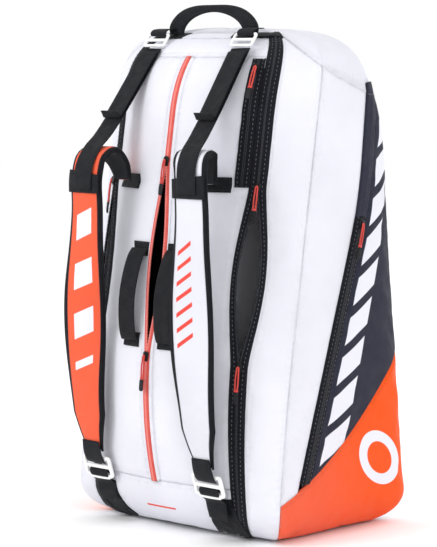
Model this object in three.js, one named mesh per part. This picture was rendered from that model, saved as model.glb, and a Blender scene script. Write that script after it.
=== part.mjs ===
// Racket backpack: a tall three-compartment bag that stands on its base.
// Frame: +Z up, the strap face looks to -Y, X runs across the compartments,
// origin in the middle of the flat base. Millimetres.
import * as THREE from 'three';

// ---------------------------------------------------------------- driving dimensions

const HEIGHT = 752; // top of the domed end, without the grab handle
const HALF_WIDTH = 215;
const RIDGE_Y = 10; // the dome is highest on this line
const WALL = 5; // foam-lined fabric
const GAP = 1; // kept clear of every seam line
const BASE_FILLET = 50;
const BACK_CORNER = 40;

// Strap face, middle line: an arc at the belly, then a straight line leaning back.
const BELLY_Z = 216;
const BELLY_Y = -177.5;
const BELLY_RADIUS = 550;
const BELLY_TOP = 300;
// The side seams are set back from the middle line of the strap face.
const SEAM_SETBACK = 85;
const SEAM_SETBACK_LOSS = 45; // less of it near the base
const SETBACK_FADE = 240;
// Back face, a straight taper.
const BACK_AT_BASE = 198;
const BACK_LEAN = 0.108;

// Where each face starts to dome, and how sharply.
const FRONT_DOME = { from: 620, power: 2.4 };
const BACK_DOME = { from: 560, power: 2 };
const SIDE_DOME = { from: 600, power: 5 };

// Positions round the bag: 0 is the middle of the strap face, 1 the side seam,
// 2 the start of the back corner, 2.5 its end and 3 the middle of the back.
const SIDE_SEAM = 1;
const CORNER_START = 2;
const CORNER_END = 2.5;
const BACK_SEAM = 2.25;
const BACK_MIDDLE = 3;

// Seams and zips on the strap face.
const YOKE_SEAM = 711;
const LOW_SEAM = 78;
const TOP_SEAM_FRONT = 745;
const TOP_SEAM_SIDE = 697;
const TOP_SEAM_BACK = 658;
const ZIP_TAPE = 10;
const ZIP_TAPE_OPEN = 6; // beside an open mouth the tape turns up and less of it shows
const ZIP_DEPTH = { outer: 0.6, inner: 2.6 };
const MAIN_ZIP_X = 150;
const CENTRE_ZIP = { x: 0, low: 268, high: 555, mouth: 25 };
const MAIN_ZIP = { x: MAIN_ZIP_X, low: 260, high: 520, mouth: 30 };
const POCKET_ZIP = { from: 118, to: 138, low: 520, high: 706, slider: 690 };

// Side pocket and corner panel, as Y along the side.
const POCKET_LINE = { y: 48, bendLow: 430, bendHigh: 560, leanLow: 0.3205, leanHigh: 0.1 };
const SIDE_ZIP_TOP = 462;
const SIDE_ZIP_HALF = 12;
const CORNER_START_Y = -115;
const CORNER_START_Z = 60;
const CORNER_SLOPE = 0.33;
const CORNER_CURVE = 0.0016;

const DIVIDER = { x: 75, thickness: 4, low: 4, high: 700, steps: 14, depth: WALL + 3 };

const WEB = 2; // webbing thickness
const ON_SURFACE = { outer: -2.5, inner: -0.5 }; // depth of what is sewn on the outside

const SLIDER = { width: 11, tail: 7, length: 15, depth: 4, lift: 1 };
const PULLER = { cord: 4, tab: 8, cordLength: 34, length: 52, depth: 2, lift: 5.7 };

const HANDLE = { y: -33, z: 751.5, halfSpan: 93, foot: 32, rise: 36, grip: 11, depth: 6 };
const CARRY = { x: 37, low: 290, high: 425, bulge: 20, lift: 5.5, width: 34, end: 30 };

const PAD = { width: 62, thickness: 13, endWidth: 30, endThickness: 4, steps: 26 };
const PAD_TWIST = { z: 320, reach: 90, angle: -Math.PI / 6 };
const LIFTER_WIDTH = 38;
const TOP_BUCKLE = { x: 91, y: -63, z: 734, width: 46, height: 30, depth: 4, bar: 5 };
const LOW_BUCKLE = { x: 117, y: -164, z: 88, width: 60, height: 36, depth: 5, bar: 6, lean: 0.32 };
const ANCHOR = { from: 60, to: 114, low: 512, high: 534 };
const WING = { topFrom: 96, topTo: 138, lowFrom: 96, lowTo: 162, low: 8, high: 66 };
const BINDING = { reach: 124, low: 738, high: 745 };

// ---------------------------------------------------------------- materials

const finish = (color, roughness) => new THREE.MeshStandardMaterial({
  color, roughness, metalness: 0, flatShading: true,
});
const white = finish(0xf0f0f8, 0.75);
const navy = finish(0x323442, 0.7);
const orange = finish(0xff5f20, 0.7);
const lining = finish(0x24262e, 0.9);
const webbing = finish(0x1e2026, 0.8);
const tape = finish(0x202228, 0.8);
const redTape = finish(0xe86a64, 0.7);
const redCord = finish(0xe0453a, 0.6);
const sliderMetal = finish(0x2a2b30, 0.4);
const buckleWhite = finish(0xf2f2f2, 0.35);

const bag = new THREE.Group();

function add(name, geometry, material) {
  const mesh = new THREE.Mesh(geometry, material);
  mesh.name = name;
  bag.add(mesh);
  return mesh;
}

// ---------------------------------------------------------------- closed solids

const { lerp, clamp } = THREE.MathUtils;
const point = (x, y, z) => new THREE.Vector3(x, y, z);
const SIDES = [['left', -1], ['right', 1]];

// One closed body from loose triangles: shared corners merged, faces turned out.
function solid(triangles) {
  const index = new Map();
  const positions = [];
  const faces = [];
  const vertex = (p) => {
    const key = [p.x, p.y, p.z].map((v) => Math.round(v * 1000)).join();
    if (!index.has(key)) {
      index.set(key, positions.length / 3);
      positions.push(p.x, p.y, p.z);
    }
    return index.get(key);
  };
  let volume = 0;
  for (const [a, b, c] of triangles) {
    const ids = [vertex(a), vertex(b), vertex(c)];
    if (new Set(ids).size < 3) continue;
    faces.push(ids);
    volume += a.dot(b.clone().cross(c));
  }
  if (volume < 0) faces.forEach((ids) => ids.reverse());
  const geometry = new THREE.BufferGeometry();
  geometry.setAttribute('position', new THREE.Float32BufferAttribute(positions, 3));
  geometry.setIndex(faces.flat());
  geometry.computeVertexNormals();
  return geometry;
}

const quad = (a, b, c, d) => [[a, b, c], [a, c, d]];

// A plate that follows a grid: at(i, j) gives its outer and inner point, and
// isOpen(i, j) leaves a cell out. A wrapped plate joins its last column to its first.
function plate(at, columns, rows, { isOpen = () => false, wrap = false } = {}) {
  const grid = [];
  for (let i = 0; i <= columns; i += 1) {
    grid.push([]);
    for (let j = 0; j <= rows; j += 1) grid[i].push(at(i, j));
  }
  const isSolid = (i, j) => {
    const column = wrap ? (i + columns) % columns : i;
    return column >= 0 && column < columns && j >= 0 && j < rows && !isOpen(column, j);
  };
  const triangles = [];
  const wall = (p, q) => triangles.push(...quad(p[0], p[1], q[1], q[0]));
  for (let i = 0; i < columns; i += 1) {
    for (let j = 0; j < rows; j += 1) {
      if (!isSolid(i, j)) continue;
      const [a, b, c, d] = [grid[i][j], grid[i + 1][j], grid[i + 1][j + 1], grid[i][j + 1]];
      triangles.push(...quad(a[0], b[0], c[0], d[0]), ...quad(a[1], d[1], c[1], b[1]));
      if (!isSolid(i, j - 1)) wall(a, b);
      if (!isSolid(i + 1, j)) wall(b, c);
      if (!isSolid(i, j + 1)) wall(c, d);
      if (!isSolid(i - 1, j)) wall(d, a);
    }
  }
  return solid(triangles);
}

// A band swept through points: its section is a flattened octagon or a plain rectangle.
function band(points, steps, { width, thickness, across = point(1, 0, 0), twist, soft = false }) {
  const curve = new THREE.CatmullRomCurve3(points);
  const section = soft
    ? [[-1, -0.4], [-0.8, -1], [0.8, -1], [1, -0.4], [1, 0.4], [0.8, 1], [-0.8, 1], [-1, 0.4]]
    : [[-1, -1], [1, -1], [1, 1], [-1, 1]];
  const rings = [];
  for (let i = 0; i <= steps; i += 1) {
    const t = i / steps;
    const centre = curve.getPointAt(t);
    const along = curve.getTangentAt(t);
    const wide = across.clone().addScaledVector(along, -across.dot(along)).normalize();
    if (twist) wide.applyAxisAngle(along, twist(centre.z));
    const thick = along.clone().cross(wide);
    rings.push(section.map(([u, v]) => centre.clone()
      .addScaledVector(wide, (u * width(t)) / 2)
      .addScaledVector(thick, (v * thickness(t)) / 2)));
  }
  const triangles = [];
  const sides = section.length;
  for (let i = 0; i < steps; i += 1) {
    for (let k = 0; k < sides; k += 1) {
      const n = (k + 1) % sides;
      triangles.push(...quad(rings[i][k], rings[i][n], rings[i + 1][n], rings[i + 1][k]));
    }
  }
  for (let k = 1; k < sides - 1; k += 1) {
    triangles.push([rings[0][0], rings[0][k + 1], rings[0][k]]);
    triangles.push([rings[steps][0], rings[steps][k], rings[steps][k + 1]]);
  }
  return solid(triangles);
}

// ---------------------------------------------------------------- the bag's surface

function dome(z, { from, power }) {
  if (z <= from) return 1;
  const rise = Math.min((z - from) / (HEIGHT - from), 1);
  return (1 - rise ** power) ** (1 / power);
}

function bellyY(z) {
  const centreY = BELLY_Y + BELLY_RADIUS;
  if (z < BELLY_TOP) return centreY - Math.sqrt(BELLY_RADIUS ** 2 - (z - BELLY_Z) ** 2);
  const lean = (BELLY_TOP - BELLY_Z) / Math.sqrt(BELLY_RADIUS ** 2 - (BELLY_TOP - BELLY_Z) ** 2);
  return bellyY(BELLY_TOP - 1e-9) + lean * (z - BELLY_TOP);
}

const halfWidth = (z) => HALF_WIDTH * dome(z, SIDE_DOME);
const frontY = (z) => RIDGE_Y + (bellyY(z) - RIDGE_Y) * dome(z, FRONT_DOME);
const backY = (z) => RIDGE_Y + (BACK_AT_BASE - BACK_LEAN * z - RIDGE_Y) * dome(z, BACK_DOME);
const cornerRadius = (z) => BACK_CORNER * dome(z, BACK_DOME);

function setback(z) {
  const fade = clamp((BELLY_TOP - z) / SETBACK_FADE, 0, 1.25);
  return (SEAM_SETBACK - SEAM_SETBACK_LOSS * fade ** 2) * dome(z, FRONT_DOME);
}

// The underside rounds into the base.
function baseInset(z) {
  const drop = clamp(BASE_FILLET - z, 0, BASE_FILLET);
  return BASE_FILLET - Math.sqrt(BASE_FILLET ** 2 - drop ** 2);
}

// A point of the outer surface at position s round the bag and height z.
function surface(s, z) {
  const beyond = Math.abs(s) > BACK_MIDDLE;
  const t = beyond ? 2 * BACK_MIDDLE - Math.abs(s) : Math.abs(s);
  const hand = (s < 0) === beyond ? 1 : -1;
  const inset = baseInset(z);
  const half = halfWidth(z) - inset;
  const front = frontY(z) + inset;
  const back = backY(z) - inset;
  const radius = cornerRadius(z);
  if (t <= SIDE_SEAM) return point(hand * half * t, front + setback(z) * t * t, z);
  if (t <= CORNER_START) {
    return point(hand * half, lerp(front + setback(z), back - radius, t - SIDE_SEAM), z);
  }
  if (t <= CORNER_END) {
    const turn = ((t - CORNER_START) / (CORNER_END - CORNER_START)) * (Math.PI / 2);
    const x = half - radius + radius * Math.cos(turn);
    return point(hand * x, back - radius + radius * Math.sin(turn), z);
  }
  const inwards = (t - CORNER_END) / (BACK_MIDDLE - CORNER_END);
  return point(hand * lerp(half - radius, 0, inwards), back, z);
}

// Depth under the surface: every point moves towards the middle of the bag.
const MIDDLE = point(0, RIDGE_Y, HEIGHT / 2);
const REACH = point(HALF_WIDTH, 165, HEIGHT / 2);
function sink(p, depth) {
  const scale = point(1 - depth / REACH.x, 1 - depth / REACH.y, 1 - depth / REACH.z);
  return p.clone().sub(MIDDLE).multiply(scale).add(MIDDLE);
}

// Heights spread by angle, so that rows gather where the top and the base curve.
const toAngle = (z) => Math.acos(1 - (2 * z) / HEIGHT);
const fromAngle = (a) => (HEIGHT / 2) * (1 - Math.cos(a));
const between = (low, high, v) => fromAngle(lerp(toAngle(low), toAngle(high), v));

// The height and position where two edges meet, one given by z and one by s.
function meet(sAt, zAt) {
  let z = zAt(SIDE_SEAM);
  for (let i = 0; i < 20; i += 1) z = zAt(sAt(z));
  return [sAt(z), z];
}

// Blends four edges: left and right are s by height, low and high are z by position.
function field({ left, right, low, high }) {
  const corners = [
    meet(left, low), meet(right, low), meet(right, high), meet(left, high),
  ];
  const [a, b, c, d] = corners;
  return (u, v) => {
    const zLeft = between(a[1], d[1], v);
    const zRight = between(b[1], c[1], v);
    const sLow = lerp(a[0], b[0], u);
    const sHigh = lerp(d[0], c[0], u);
    const s = lerp(left(zLeft), right(zRight), u)
      + lerp(sLow, sHigh, v) - lerp(lerp(a[0], b[0], u), lerp(d[0], c[0], u), v);
    const z = lerp(zLeft, zRight, u)
      + lerp(low(sLow), high(sHigh), v) - lerp(lerp(a[1], b[1], u), lerp(d[1], c[1], u), v);
    return [s, z];
  };
}

// A sewn panel inside four edges, kept GAP away from each of them.
function panel(edges, columns, rows, { hand = 1, outer = 0, inner = WALL } = {}) {
  const inside = field(edges);
  const at = (u, v) => surface(...inside(u, v));
  return plate((i, j) => {
    const u = i / columns;
    const v = j / rows;
    const trimU = GAP / at(0, v).distanceTo(at(1, v));
    const trimV = GAP / at(u, 0).distanceTo(at(u, 1));
    const [s, z] = inside(lerp(trimU, 1 - trimU, u), lerp(trimV, 1 - trimV, v));
    const p = surface(hand * s, z);
    return [sink(p, outer), sink(p, inner)];
  }, columns, rows);
}

const constant = (value) => () => value;
const toS = (mm) => mm / HALF_WIDTH;

// ---------------------------------------------------------------- seams as edges

// How far a zip is open at height z, from 0 to 1.
function openShare({ low, high }, z) {
  return Math.sin(Math.PI * clamp((z - low) / (high - low), 0, 1)) ** 1.3;
}
// Half the width of the mouth, and the width of the tape beside it.
const mouth = (zip, z) => GAP + (zip.mouth / 2) * openShare(zip, z);
const tapeWidth = (zip, z) => lerp(ZIP_TAPE, ZIP_TAPE_OPEN, openShare(zip, z));

function topSeam(s) {
  const t = Math.abs(s) > BACK_MIDDLE ? 2 * BACK_MIDDLE - Math.abs(s) : Math.abs(s);
  const zipEdge = toS(MAIN_ZIP_X + ZIP_TAPE);
  if (t <= zipEdge) return TOP_SEAM_FRONT;
  if (t <= SIDE_SEAM) {
    return lerp(TOP_SEAM_FRONT, TOP_SEAM_SIDE, (t - zipEdge) / (SIDE_SEAM - zipEdge));
  }
  return lerp(TOP_SEAM_SIDE, TOP_SEAM_BACK, Math.min(t - SIDE_SEAM, 1));
}

const centreEdge = (z) => toS(mouth(CENTRE_ZIP, z) + tapeWidth(CENTRE_ZIP, z));
const mainEdgeIn = (z) => toS(MAIN_ZIP_X - tapeWidth(MAIN_ZIP, z) - mouth(MAIN_ZIP, z));
const mainEdgeOut = (z) => toS(MAIN_ZIP_X + tapeWidth(MAIN_ZIP, z) + mouth(MAIN_ZIP, z));

// Position round the side of the point at depth y and height z.
function sideS(y, z) {
  const start = surface(SIDE_SEAM, z).y;
  return SIDE_SEAM + (y - start) / (surface(CORNER_START, z).y - start);
}

// Front line of the side pocket: straight, a bend, and straight again.
function pocketLine(z, shift) {
  const { y, bendLow, bendHigh, leanLow, leanHigh } = POCKET_LINE;
  const bend = clamp(z, bendLow, bendHigh) - bendLow;
  const turned = (leanHigh - leanLow) * bend * (bend / (2 * (bendHigh - bendLow)));
  const above = (leanHigh - leanLow) * Math.max(z - bendHigh, 0);
  return sideS(y + leanLow * (z - bendLow) + turned + above + shift, z);
}
const pocketEdgeFront = (z) => pocketLine(z, -SIDE_ZIP_HALF);
const pocketEdgeBack = (z) => pocketLine(z, SIDE_ZIP_HALF);

// Upper border of the corner panel, rising towards the back.
function cornerBorder(s) {
  let z = CORNER_START_Z;
  for (let i = 0; i < 12; i += 1) {
    const along = Math.max(surface(s, z).y - CORNER_START_Y, 0);
    z = CORNER_START_Z + CORNER_SLOPE * along + CORNER_CURVE * along ** 2;
  }
  return z;
}

// ---------------------------------------------------------------- panels

const CENTRE_ROWS = 22;
const MAIN_ROWS = 26;
for (const [name, hand] of SIDES) {
  add(`centre_panel_${name}`, panel({
    left: centreEdge, right: mainEdgeIn, low: constant(LOW_SEAM), high: constant(YOKE_SEAM),
  }, 5, CENTRE_ROWS, { hand }), white);
  add(`gusset_${name}`, panel({
    left: mainEdgeOut, right: constant(SIDE_SEAM), low: constant(0), high: topSeam,
  }, 4, MAIN_ROWS, { hand }), white);
  add(`side_panel_${name}`, panel({
    left: constant(SIDE_SEAM), right: pocketEdgeFront, low: cornerBorder, high: topSeam,
  }, 3, 14, { hand }), white);
  add(`side_pocket_${name}`, panel({
    left: pocketEdgeBack, right: constant(BACK_SEAM), low: cornerBorder, high: topSeam,
  }, 8, 14, { hand }), navy);
  add(`corner_panel_${name}`, panel({
    left: constant(SIDE_SEAM), right: constant(BACK_SEAM), low: constant(0), high: cornerBorder,
  }, 12, 7, { hand }), orange);
}

add('top_yoke', panel({
  left: constant(-toS(MAIN_ZIP_X - ZIP_TAPE)),
  right: constant(toS(MAIN_ZIP_X - ZIP_TAPE)),
  low: constant(YOKE_SEAM),
  high: constant(TOP_SEAM_FRONT),
}, 10, 4), white);

add('lower_yoke', panel({
  left: constant(-toS(MAIN_ZIP_X - ZIP_TAPE)),
  right: constant(toS(MAIN_ZIP_X - ZIP_TAPE)),
  low: constant(0),
  high: constant(LOW_SEAM),
}, 10, 6), white);

add('back_panel', panel({
  left: constant(BACK_SEAM),
  right: constant(2 * BACK_MIDDLE - BACK_SEAM),
  low: constant(0),
  high: constant(TOP_SEAM_BACK),
}, 12, 17), white);

// The top panel closes the dome, from its seam to the ridge.
const TOP_COLUMNS = 48;
const TOP_ROWS = 5;
add('top_panel', plate((i, j) => {
  const s = lerp(-BACK_MIDDLE, BACK_MIDDLE, i / TOP_COLUMNS);
  const p = surface(s, between(topSeam(s) + GAP, HEIGHT, j / TOP_ROWS));
  return [p, sink(p, WALL)];
}, TOP_COLUMNS, TOP_ROWS, { wrap: true }), white);

// The base panel is flat, inside the rounded lower edges.
const BASE_POINTS = 48;
const baseOutline = new THREE.Shape(Array.from({ length: BASE_POINTS }, (_, i) => {
  const p = sink(surface(lerp(-BACK_MIDDLE, BACK_MIDDLE, i / BASE_POINTS), 0), WALL + 2 * GAP);
  return new THREE.Vector2(p.x, p.y);
}));
add('base_panel', new THREE.ExtrudeGeometry(baseOutline, {
  depth: WALL, bevelEnabled: false,
}), navy);

// Padded dividers between the compartments.
for (const [name, hand] of SIDES) {
  const profile = [];
  for (let i = 0; i <= DIVIDER.steps; i += 1) {
    const z = between(DIVIDER.low, DIVIDER.high, i / DIVIDER.steps);
    const front = sink(surface(DIVIDER.x / (halfWidth(z) - baseInset(z)), z), DIVIDER.depth);
    const back = sink(surface(BACK_MIDDLE, z), DIVIDER.depth);
    profile.push(new THREE.Vector2(front.y, front.z));
    profile.unshift(new THREE.Vector2(back.y, back.z));
  }
  const geometry = new THREE.ExtrudeGeometry(new THREE.Shape(profile), {
    depth: DIVIDER.thickness, bevelEnabled: false,
  });
  // The outline is drawn in Y and Z, so the extrusion runs along X.
  geometry.applyMatrix4(new THREE.Matrix4().makeBasis(
    point(0, 1, 0), point(0, 0, 1), point(1, 0, 0),
  ));
  add(`divider_${name}`, geometry, lining).position.x = hand * DIVIDER.x - DIVIDER.thickness / 2;
}

// ---------------------------------------------------------------- zips

// A zip with an open mouth: tape, lip, lip and tape, joined above and below the mouth.
function openZip(zip, lowEnd, highEnd, rows, hand) {
  const trimmedLow = lowEnd + GAP;
  const trimmedHigh = highEnd - GAP;
  const heights = [];
  for (let j = 0; j <= rows; j += 1) heights.push(between(trimmedLow, trimmedHigh, j / rows));
  const offset = [-1, -1, 1, 1];
  return plate((i, j) => {
    const z = heights[j];
    const lip = mouth(zip, z);
    const edge = i === 0 || i === 3 ? lip + tapeWidth(zip, z) - GAP : lip;
    const p = surface(hand * toS(zip.x + offset[i] * edge), z);
    return [sink(p, ZIP_DEPTH.outer), sink(p, ZIP_DEPTH.inner)];
  }, 3, rows, {
    isOpen: (i, j) => i === 1 && heights[j] > zip.low && heights[j + 1] < zip.high,
  });
}

add('centre_zip', openZip(CENTRE_ZIP, LOW_SEAM, YOKE_SEAM, CENTRE_ROWS, 1), redTape);
for (const [name, hand] of SIDES) {
  add(`main_zip_${name}`, openZip(MAIN_ZIP, 0, TOP_SEAM_FRONT, MAIN_ROWS, hand), tape);
  add(`side_zip_${name}`, panel({
    left: pocketEdgeFront, right: pocketEdgeBack, low: cornerBorder, high: topSeam,
  }, 1, 14, { hand, ...ZIP_DEPTH }), tape);
}
add('pocket_zip', panel({
  left: constant(toS(POCKET_ZIP.from)),
  right: constant(toS(POCKET_ZIP.to)),
  low: constant(POCKET_ZIP.low),
  high: constant(POCKET_ZIP.high),
}, 1, 6, ON_SURFACE), tape);

// ---------------------------------------------------------------- zip sliders and pullers

// Axes at a place on a zip: across it, along it and outwards.
function zipFrame(spot, next) {
  const origin = surface(...spot);
  const along = surface(...next).sub(origin).normalize();
  const around = surface(spot[0] + 1e-3, spot[1]).sub(origin).normalize();
  const outwards = around.clone().cross(along).normalize();
  const across = along.clone().cross(outwards);
  return new THREE.Matrix4().makeBasis(across, along, outwards).setPosition(origin);
}

const sliderOutline = new THREE.Shape();
sliderOutline.moveTo(-SLIDER.tail / 2, -SLIDER.length / 2);
sliderOutline.lineTo(SLIDER.tail / 2, -SLIDER.length / 2);
sliderOutline.lineTo(SLIDER.width / 2, SLIDER.length / 4);
sliderOutline.quadraticCurveTo(SLIDER.width / 2, SLIDER.length / 2, 0, SLIDER.length / 2);
sliderOutline.quadraticCurveTo(-SLIDER.width / 2, SLIDER.length / 2, -SLIDER.width / 2, SLIDER.length / 4);

const pullerOutline = new THREE.Shape([
  [-PULLER.cord / 2, 2], [PULLER.cord / 2, 2],
  [PULLER.cord / 2, -PULLER.cordLength], [PULLER.tab / 2, -PULLER.cordLength - 2],
  [PULLER.tab / 2, -PULLER.length + 2], [PULLER.cord / 2, -PULLER.length],
  [-PULLER.cord / 2, -PULLER.length], [-PULLER.tab / 2, -PULLER.length + 2],
  [-PULLER.tab / 2, -PULLER.cordLength - 2], [-PULLER.cord / 2, -PULLER.cordLength],
].map(([x, y]) => new THREE.Vector2(x, y)).reverse());

function addSlider(name, spot, next, lift = 0) {
  const frame = zipFrame(spot, next);
  const slider = new THREE.ExtrudeGeometry(sliderOutline, {
    depth: SLIDER.depth, bevelEnabled: false, curveSegments: 3,
  }).translate(0, 0, SLIDER.lift + lift);
  const puller = new THREE.ExtrudeGeometry(pullerOutline, {
    depth: PULLER.depth, bevelEnabled: false,
  }).translate(0, 0, PULLER.lift + lift);
  add(`${name}_slider`, slider, sliderMetal).applyMatrix4(frame);
  add(`${name}_puller`, puller, redCord).applyMatrix4(frame);
}

const NEXT = 5; // height step that gives the direction of a zip
for (const [level, z] of [['upper', CENTRE_ZIP.high], ['lower', CENTRE_ZIP.low]]) {
  addSlider(`centre_${level}`, [0, z], [0, z + NEXT]);
}
for (const [name, hand] of SIDES) {
  const s = hand * toS(MAIN_ZIP_X);
  for (const [level, z] of [['upper', MAIN_ZIP.high], ['lower', MAIN_ZIP.low]]) {
    addSlider(`main_${name}_${level}`, [s, z], [s, z + NEXT]);
  }
  addSlider(
    `side_${name}`,
    [hand * pocketLine(SIDE_ZIP_TOP, 0), SIDE_ZIP_TOP],
    [hand * pocketLine(SIDE_ZIP_TOP + NEXT, 0), SIDE_ZIP_TOP + NEXT],
  );
}
const pocketS = toS((POCKET_ZIP.from + POCKET_ZIP.to) / 2);
addSlider(
  'pocket',
  [pocketS, POCKET_ZIP.slider],
  [pocketS, POCKET_ZIP.slider + NEXT],
  -ON_SURFACE.outer + GAP,
);

// ---------------------------------------------------------------- handles

// Grab handle on the top: a flat arch, wide at its feet and narrow at the grip.
const arch = new THREE.Shape();
const innerSpan = HANDLE.halfSpan - HANDLE.foot;
arch.moveTo(-HANDLE.halfSpan, 0);
const shoulder = { x: HANDLE.halfSpan - 16, z: HANDLE.rise * 0.72, crown: 44 };
const hollow = { x: innerSpan - 5, z: (HANDLE.rise - HANDLE.grip) * 0.72, crown: 30 };
const under = HANDLE.rise - HANDLE.grip;
arch.bezierCurveTo(-shoulder.x, shoulder.z, -shoulder.crown, HANDLE.rise, 0, HANDLE.rise);
arch.bezierCurveTo(shoulder.crown, HANDLE.rise, shoulder.x, shoulder.z, HANDLE.halfSpan, 0);
arch.lineTo(innerSpan, 0);
arch.bezierCurveTo(hollow.x, hollow.z, hollow.crown, under, 0, under);
arch.bezierCurveTo(-hollow.crown, under, -hollow.x, hollow.z, -innerSpan, 0);
const handle = add('top_handle', new THREE.ExtrudeGeometry(arch, {
  depth: HANDLE.depth, bevelEnabled: false, curveSegments: 8,
}).translate(0, 0, -HANDLE.depth / 2).rotateX(Math.PI / 2), webbing);
handle.position.set(0, HANDLE.y, HANDLE.z);

add('top_binding', panel({
  left: constant(-toS(BINDING.reach)),
  right: constant(toS(BINDING.reach)),
  low: constant(BINDING.low),
  high: constant(BINDING.high),
}, 12, 1, ON_SURFACE), webbing);

// Carry handles beside the centre zip: webbing loops that bulge off the face.
for (const [name, hand] of SIDES) {
  const stations = [0, 0.07, 0.25, 0.5, 0.75, 0.93, 1].map((t) => {
    const z = lerp(CARRY.low, CARRY.high, t);
    const stand = lerp(CARRY.lift, CARRY.bulge, Math.sin(Math.PI * t) ** 0.6);
    return point(hand * CARRY.x, surface(toS(CARRY.x), z).y - stand, z);
  });
  const width = (t) => lerp(CARRY.end, CARRY.width, clamp(Math.sin(Math.PI * t) * 3, 0, 1));
  add(`carry_handle_${name}`, band(stations, 12, { width, thickness: constant(WEB + 1) }), webbing);
}

// ---------------------------------------------------------------- shoulder straps

// Middle line of a shoulder pad: out of its seam, over an arch, then down to its buckle.
const PAD_LINE = [
  [90, -135, 524], [91, -146, 552], [97, -166, 570], [104, -185, 562], [109, -192, 532],
  [110, -191, 480], [111, -193, 420], [112, -195, 355], [113, -193, 280], [115, -188, 210],
  [116, -179, 145], [117, -170, 114],
];
// Webbing from the pad's arch up to the top buckle, and its loose tail in front of it.
const LIFTER_LINE = [[92, -73, 717], [94, -98, 682], [97, -132, 636], [100, -167, 593]];
const TAIL_LINE = [[92, -77, 719], [94, -102, 684], [96, -127, 650], [98, -150, 619]];

function buckle({ width, height, depth, bar }) {
  const outline = new THREE.Shape([
    [-width / 2, -height / 2], [width / 2, -height / 2], [width / 2, height / 2],
    [-width / 2, height / 2],
  ].map(([x, y]) => new THREE.Vector2(x, y)));
  const slotTop = height / 2 - bar;
  for (const side of [-1, 1]) {
    const near = (side * bar) / 2;
    const far = side * slotTop;
    outline.holes.push(new THREE.Path([
      [-width / 2 + bar, near], [width / 2 - bar, near], [width / 2 - bar, far],
      [-width / 2 + bar, far],
    ].map(([x, y]) => new THREE.Vector2(x, y))));
  }
  return new THREE.ExtrudeGeometry(outline, { depth, bevelEnabled: false })
    .translate(0, 0, -depth / 2);
}

// A plate seen from the strap face: its local Y leans by the given angle from upright.
function leanBack(mesh, spec, hand, lean) {
  mesh.position.set(hand * spec.x, spec.y, spec.z);
  mesh.rotation.x = Math.PI / 2 - lean;
}

const bump = (z) => Math.exp(-(((z - PAD_TWIST.z) / PAD_TWIST.reach) ** 2));
for (const [name, hand] of SIDES) {
  const line = (points) => points.map(([x, y, z]) => point(hand * x, y, z));
  const ends = (t) => clamp(Math.min(t, 1 - t) * 9, 0, 1);
  add(`shoulder_pad_${name}`, band(line(PAD_LINE), PAD.steps, {
    width: (t) => lerp(PAD.endWidth, PAD.width, ends(t)),
    thickness: (t) => lerp(PAD.endThickness, PAD.thickness, ends(t)),
    twist: (z) => PAD_TWIST.angle * bump(z),
    soft: true,
  }), name === 'left' ? orange : white);
  add(`load_lifter_${name}`, band(line(LIFTER_LINE), 5, {
    width: constant(LIFTER_WIDTH), thickness: constant(WEB),
  }), webbing);
  add(`lifter_tail_${name}`, band(line(TAIL_LINE), 5, {
    width: constant(LIFTER_WIDTH - 2), thickness: constant(WEB),
  }), webbing);
  add(`strap_anchor_${name}`, panel({
    left: constant(toS(ANCHOR.from)),
    right: constant(toS(ANCHOR.to)),
    low: constant(ANCHOR.low),
    high: constant(ANCHOR.high),
  }, 2, 1, { hand, ...ON_SURFACE }), webbing);
  add(`lower_webbing_${name}`, panel({
    left: constant(toS(WING.topFrom)),
    right: (z) => toS(lerp(WING.lowTo, WING.topTo, (z - WING.low) / (WING.high - WING.low))),
    low: constant(WING.low),
    high: constant(WING.high),
  }, 3, 5, { hand, ...ON_SURFACE }), webbing);
  leanBack(add(`top_buckle_${name}`, buckle(TOP_BUCKLE), buckleWhite), TOP_BUCKLE, hand, 0.55);
  leanBack(
    add(`lower_buckle_${name}`, buckle(LOW_BUCKLE), buckleWhite), LOW_BUCKLE, hand, -LOW_BUCKLE.lean,
  );
}

export default bag;
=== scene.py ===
import math

import bmesh
import bpy
import numpy as np
from mathutils import Matrix, Vector
from mathutils.bvhtree import BVHTree


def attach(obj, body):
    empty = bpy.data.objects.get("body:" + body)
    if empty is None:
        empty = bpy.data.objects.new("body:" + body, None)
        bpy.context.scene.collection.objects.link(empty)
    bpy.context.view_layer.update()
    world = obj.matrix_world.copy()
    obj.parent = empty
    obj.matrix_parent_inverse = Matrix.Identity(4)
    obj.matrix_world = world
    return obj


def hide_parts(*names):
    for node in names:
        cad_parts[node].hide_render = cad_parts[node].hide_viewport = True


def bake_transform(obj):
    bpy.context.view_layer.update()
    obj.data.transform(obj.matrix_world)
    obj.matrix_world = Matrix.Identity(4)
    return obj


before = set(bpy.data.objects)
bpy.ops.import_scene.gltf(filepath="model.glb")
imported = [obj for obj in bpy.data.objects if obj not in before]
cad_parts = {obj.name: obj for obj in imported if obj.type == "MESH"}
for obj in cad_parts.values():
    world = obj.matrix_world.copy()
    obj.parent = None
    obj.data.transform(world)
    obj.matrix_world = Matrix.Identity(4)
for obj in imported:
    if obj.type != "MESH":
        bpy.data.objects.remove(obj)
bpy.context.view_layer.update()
scene = bpy.context.scene
scene.view_settings.view_transform = "Standard"

# ---------------------------------------------------------------- the bag's surface, in mm

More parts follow.
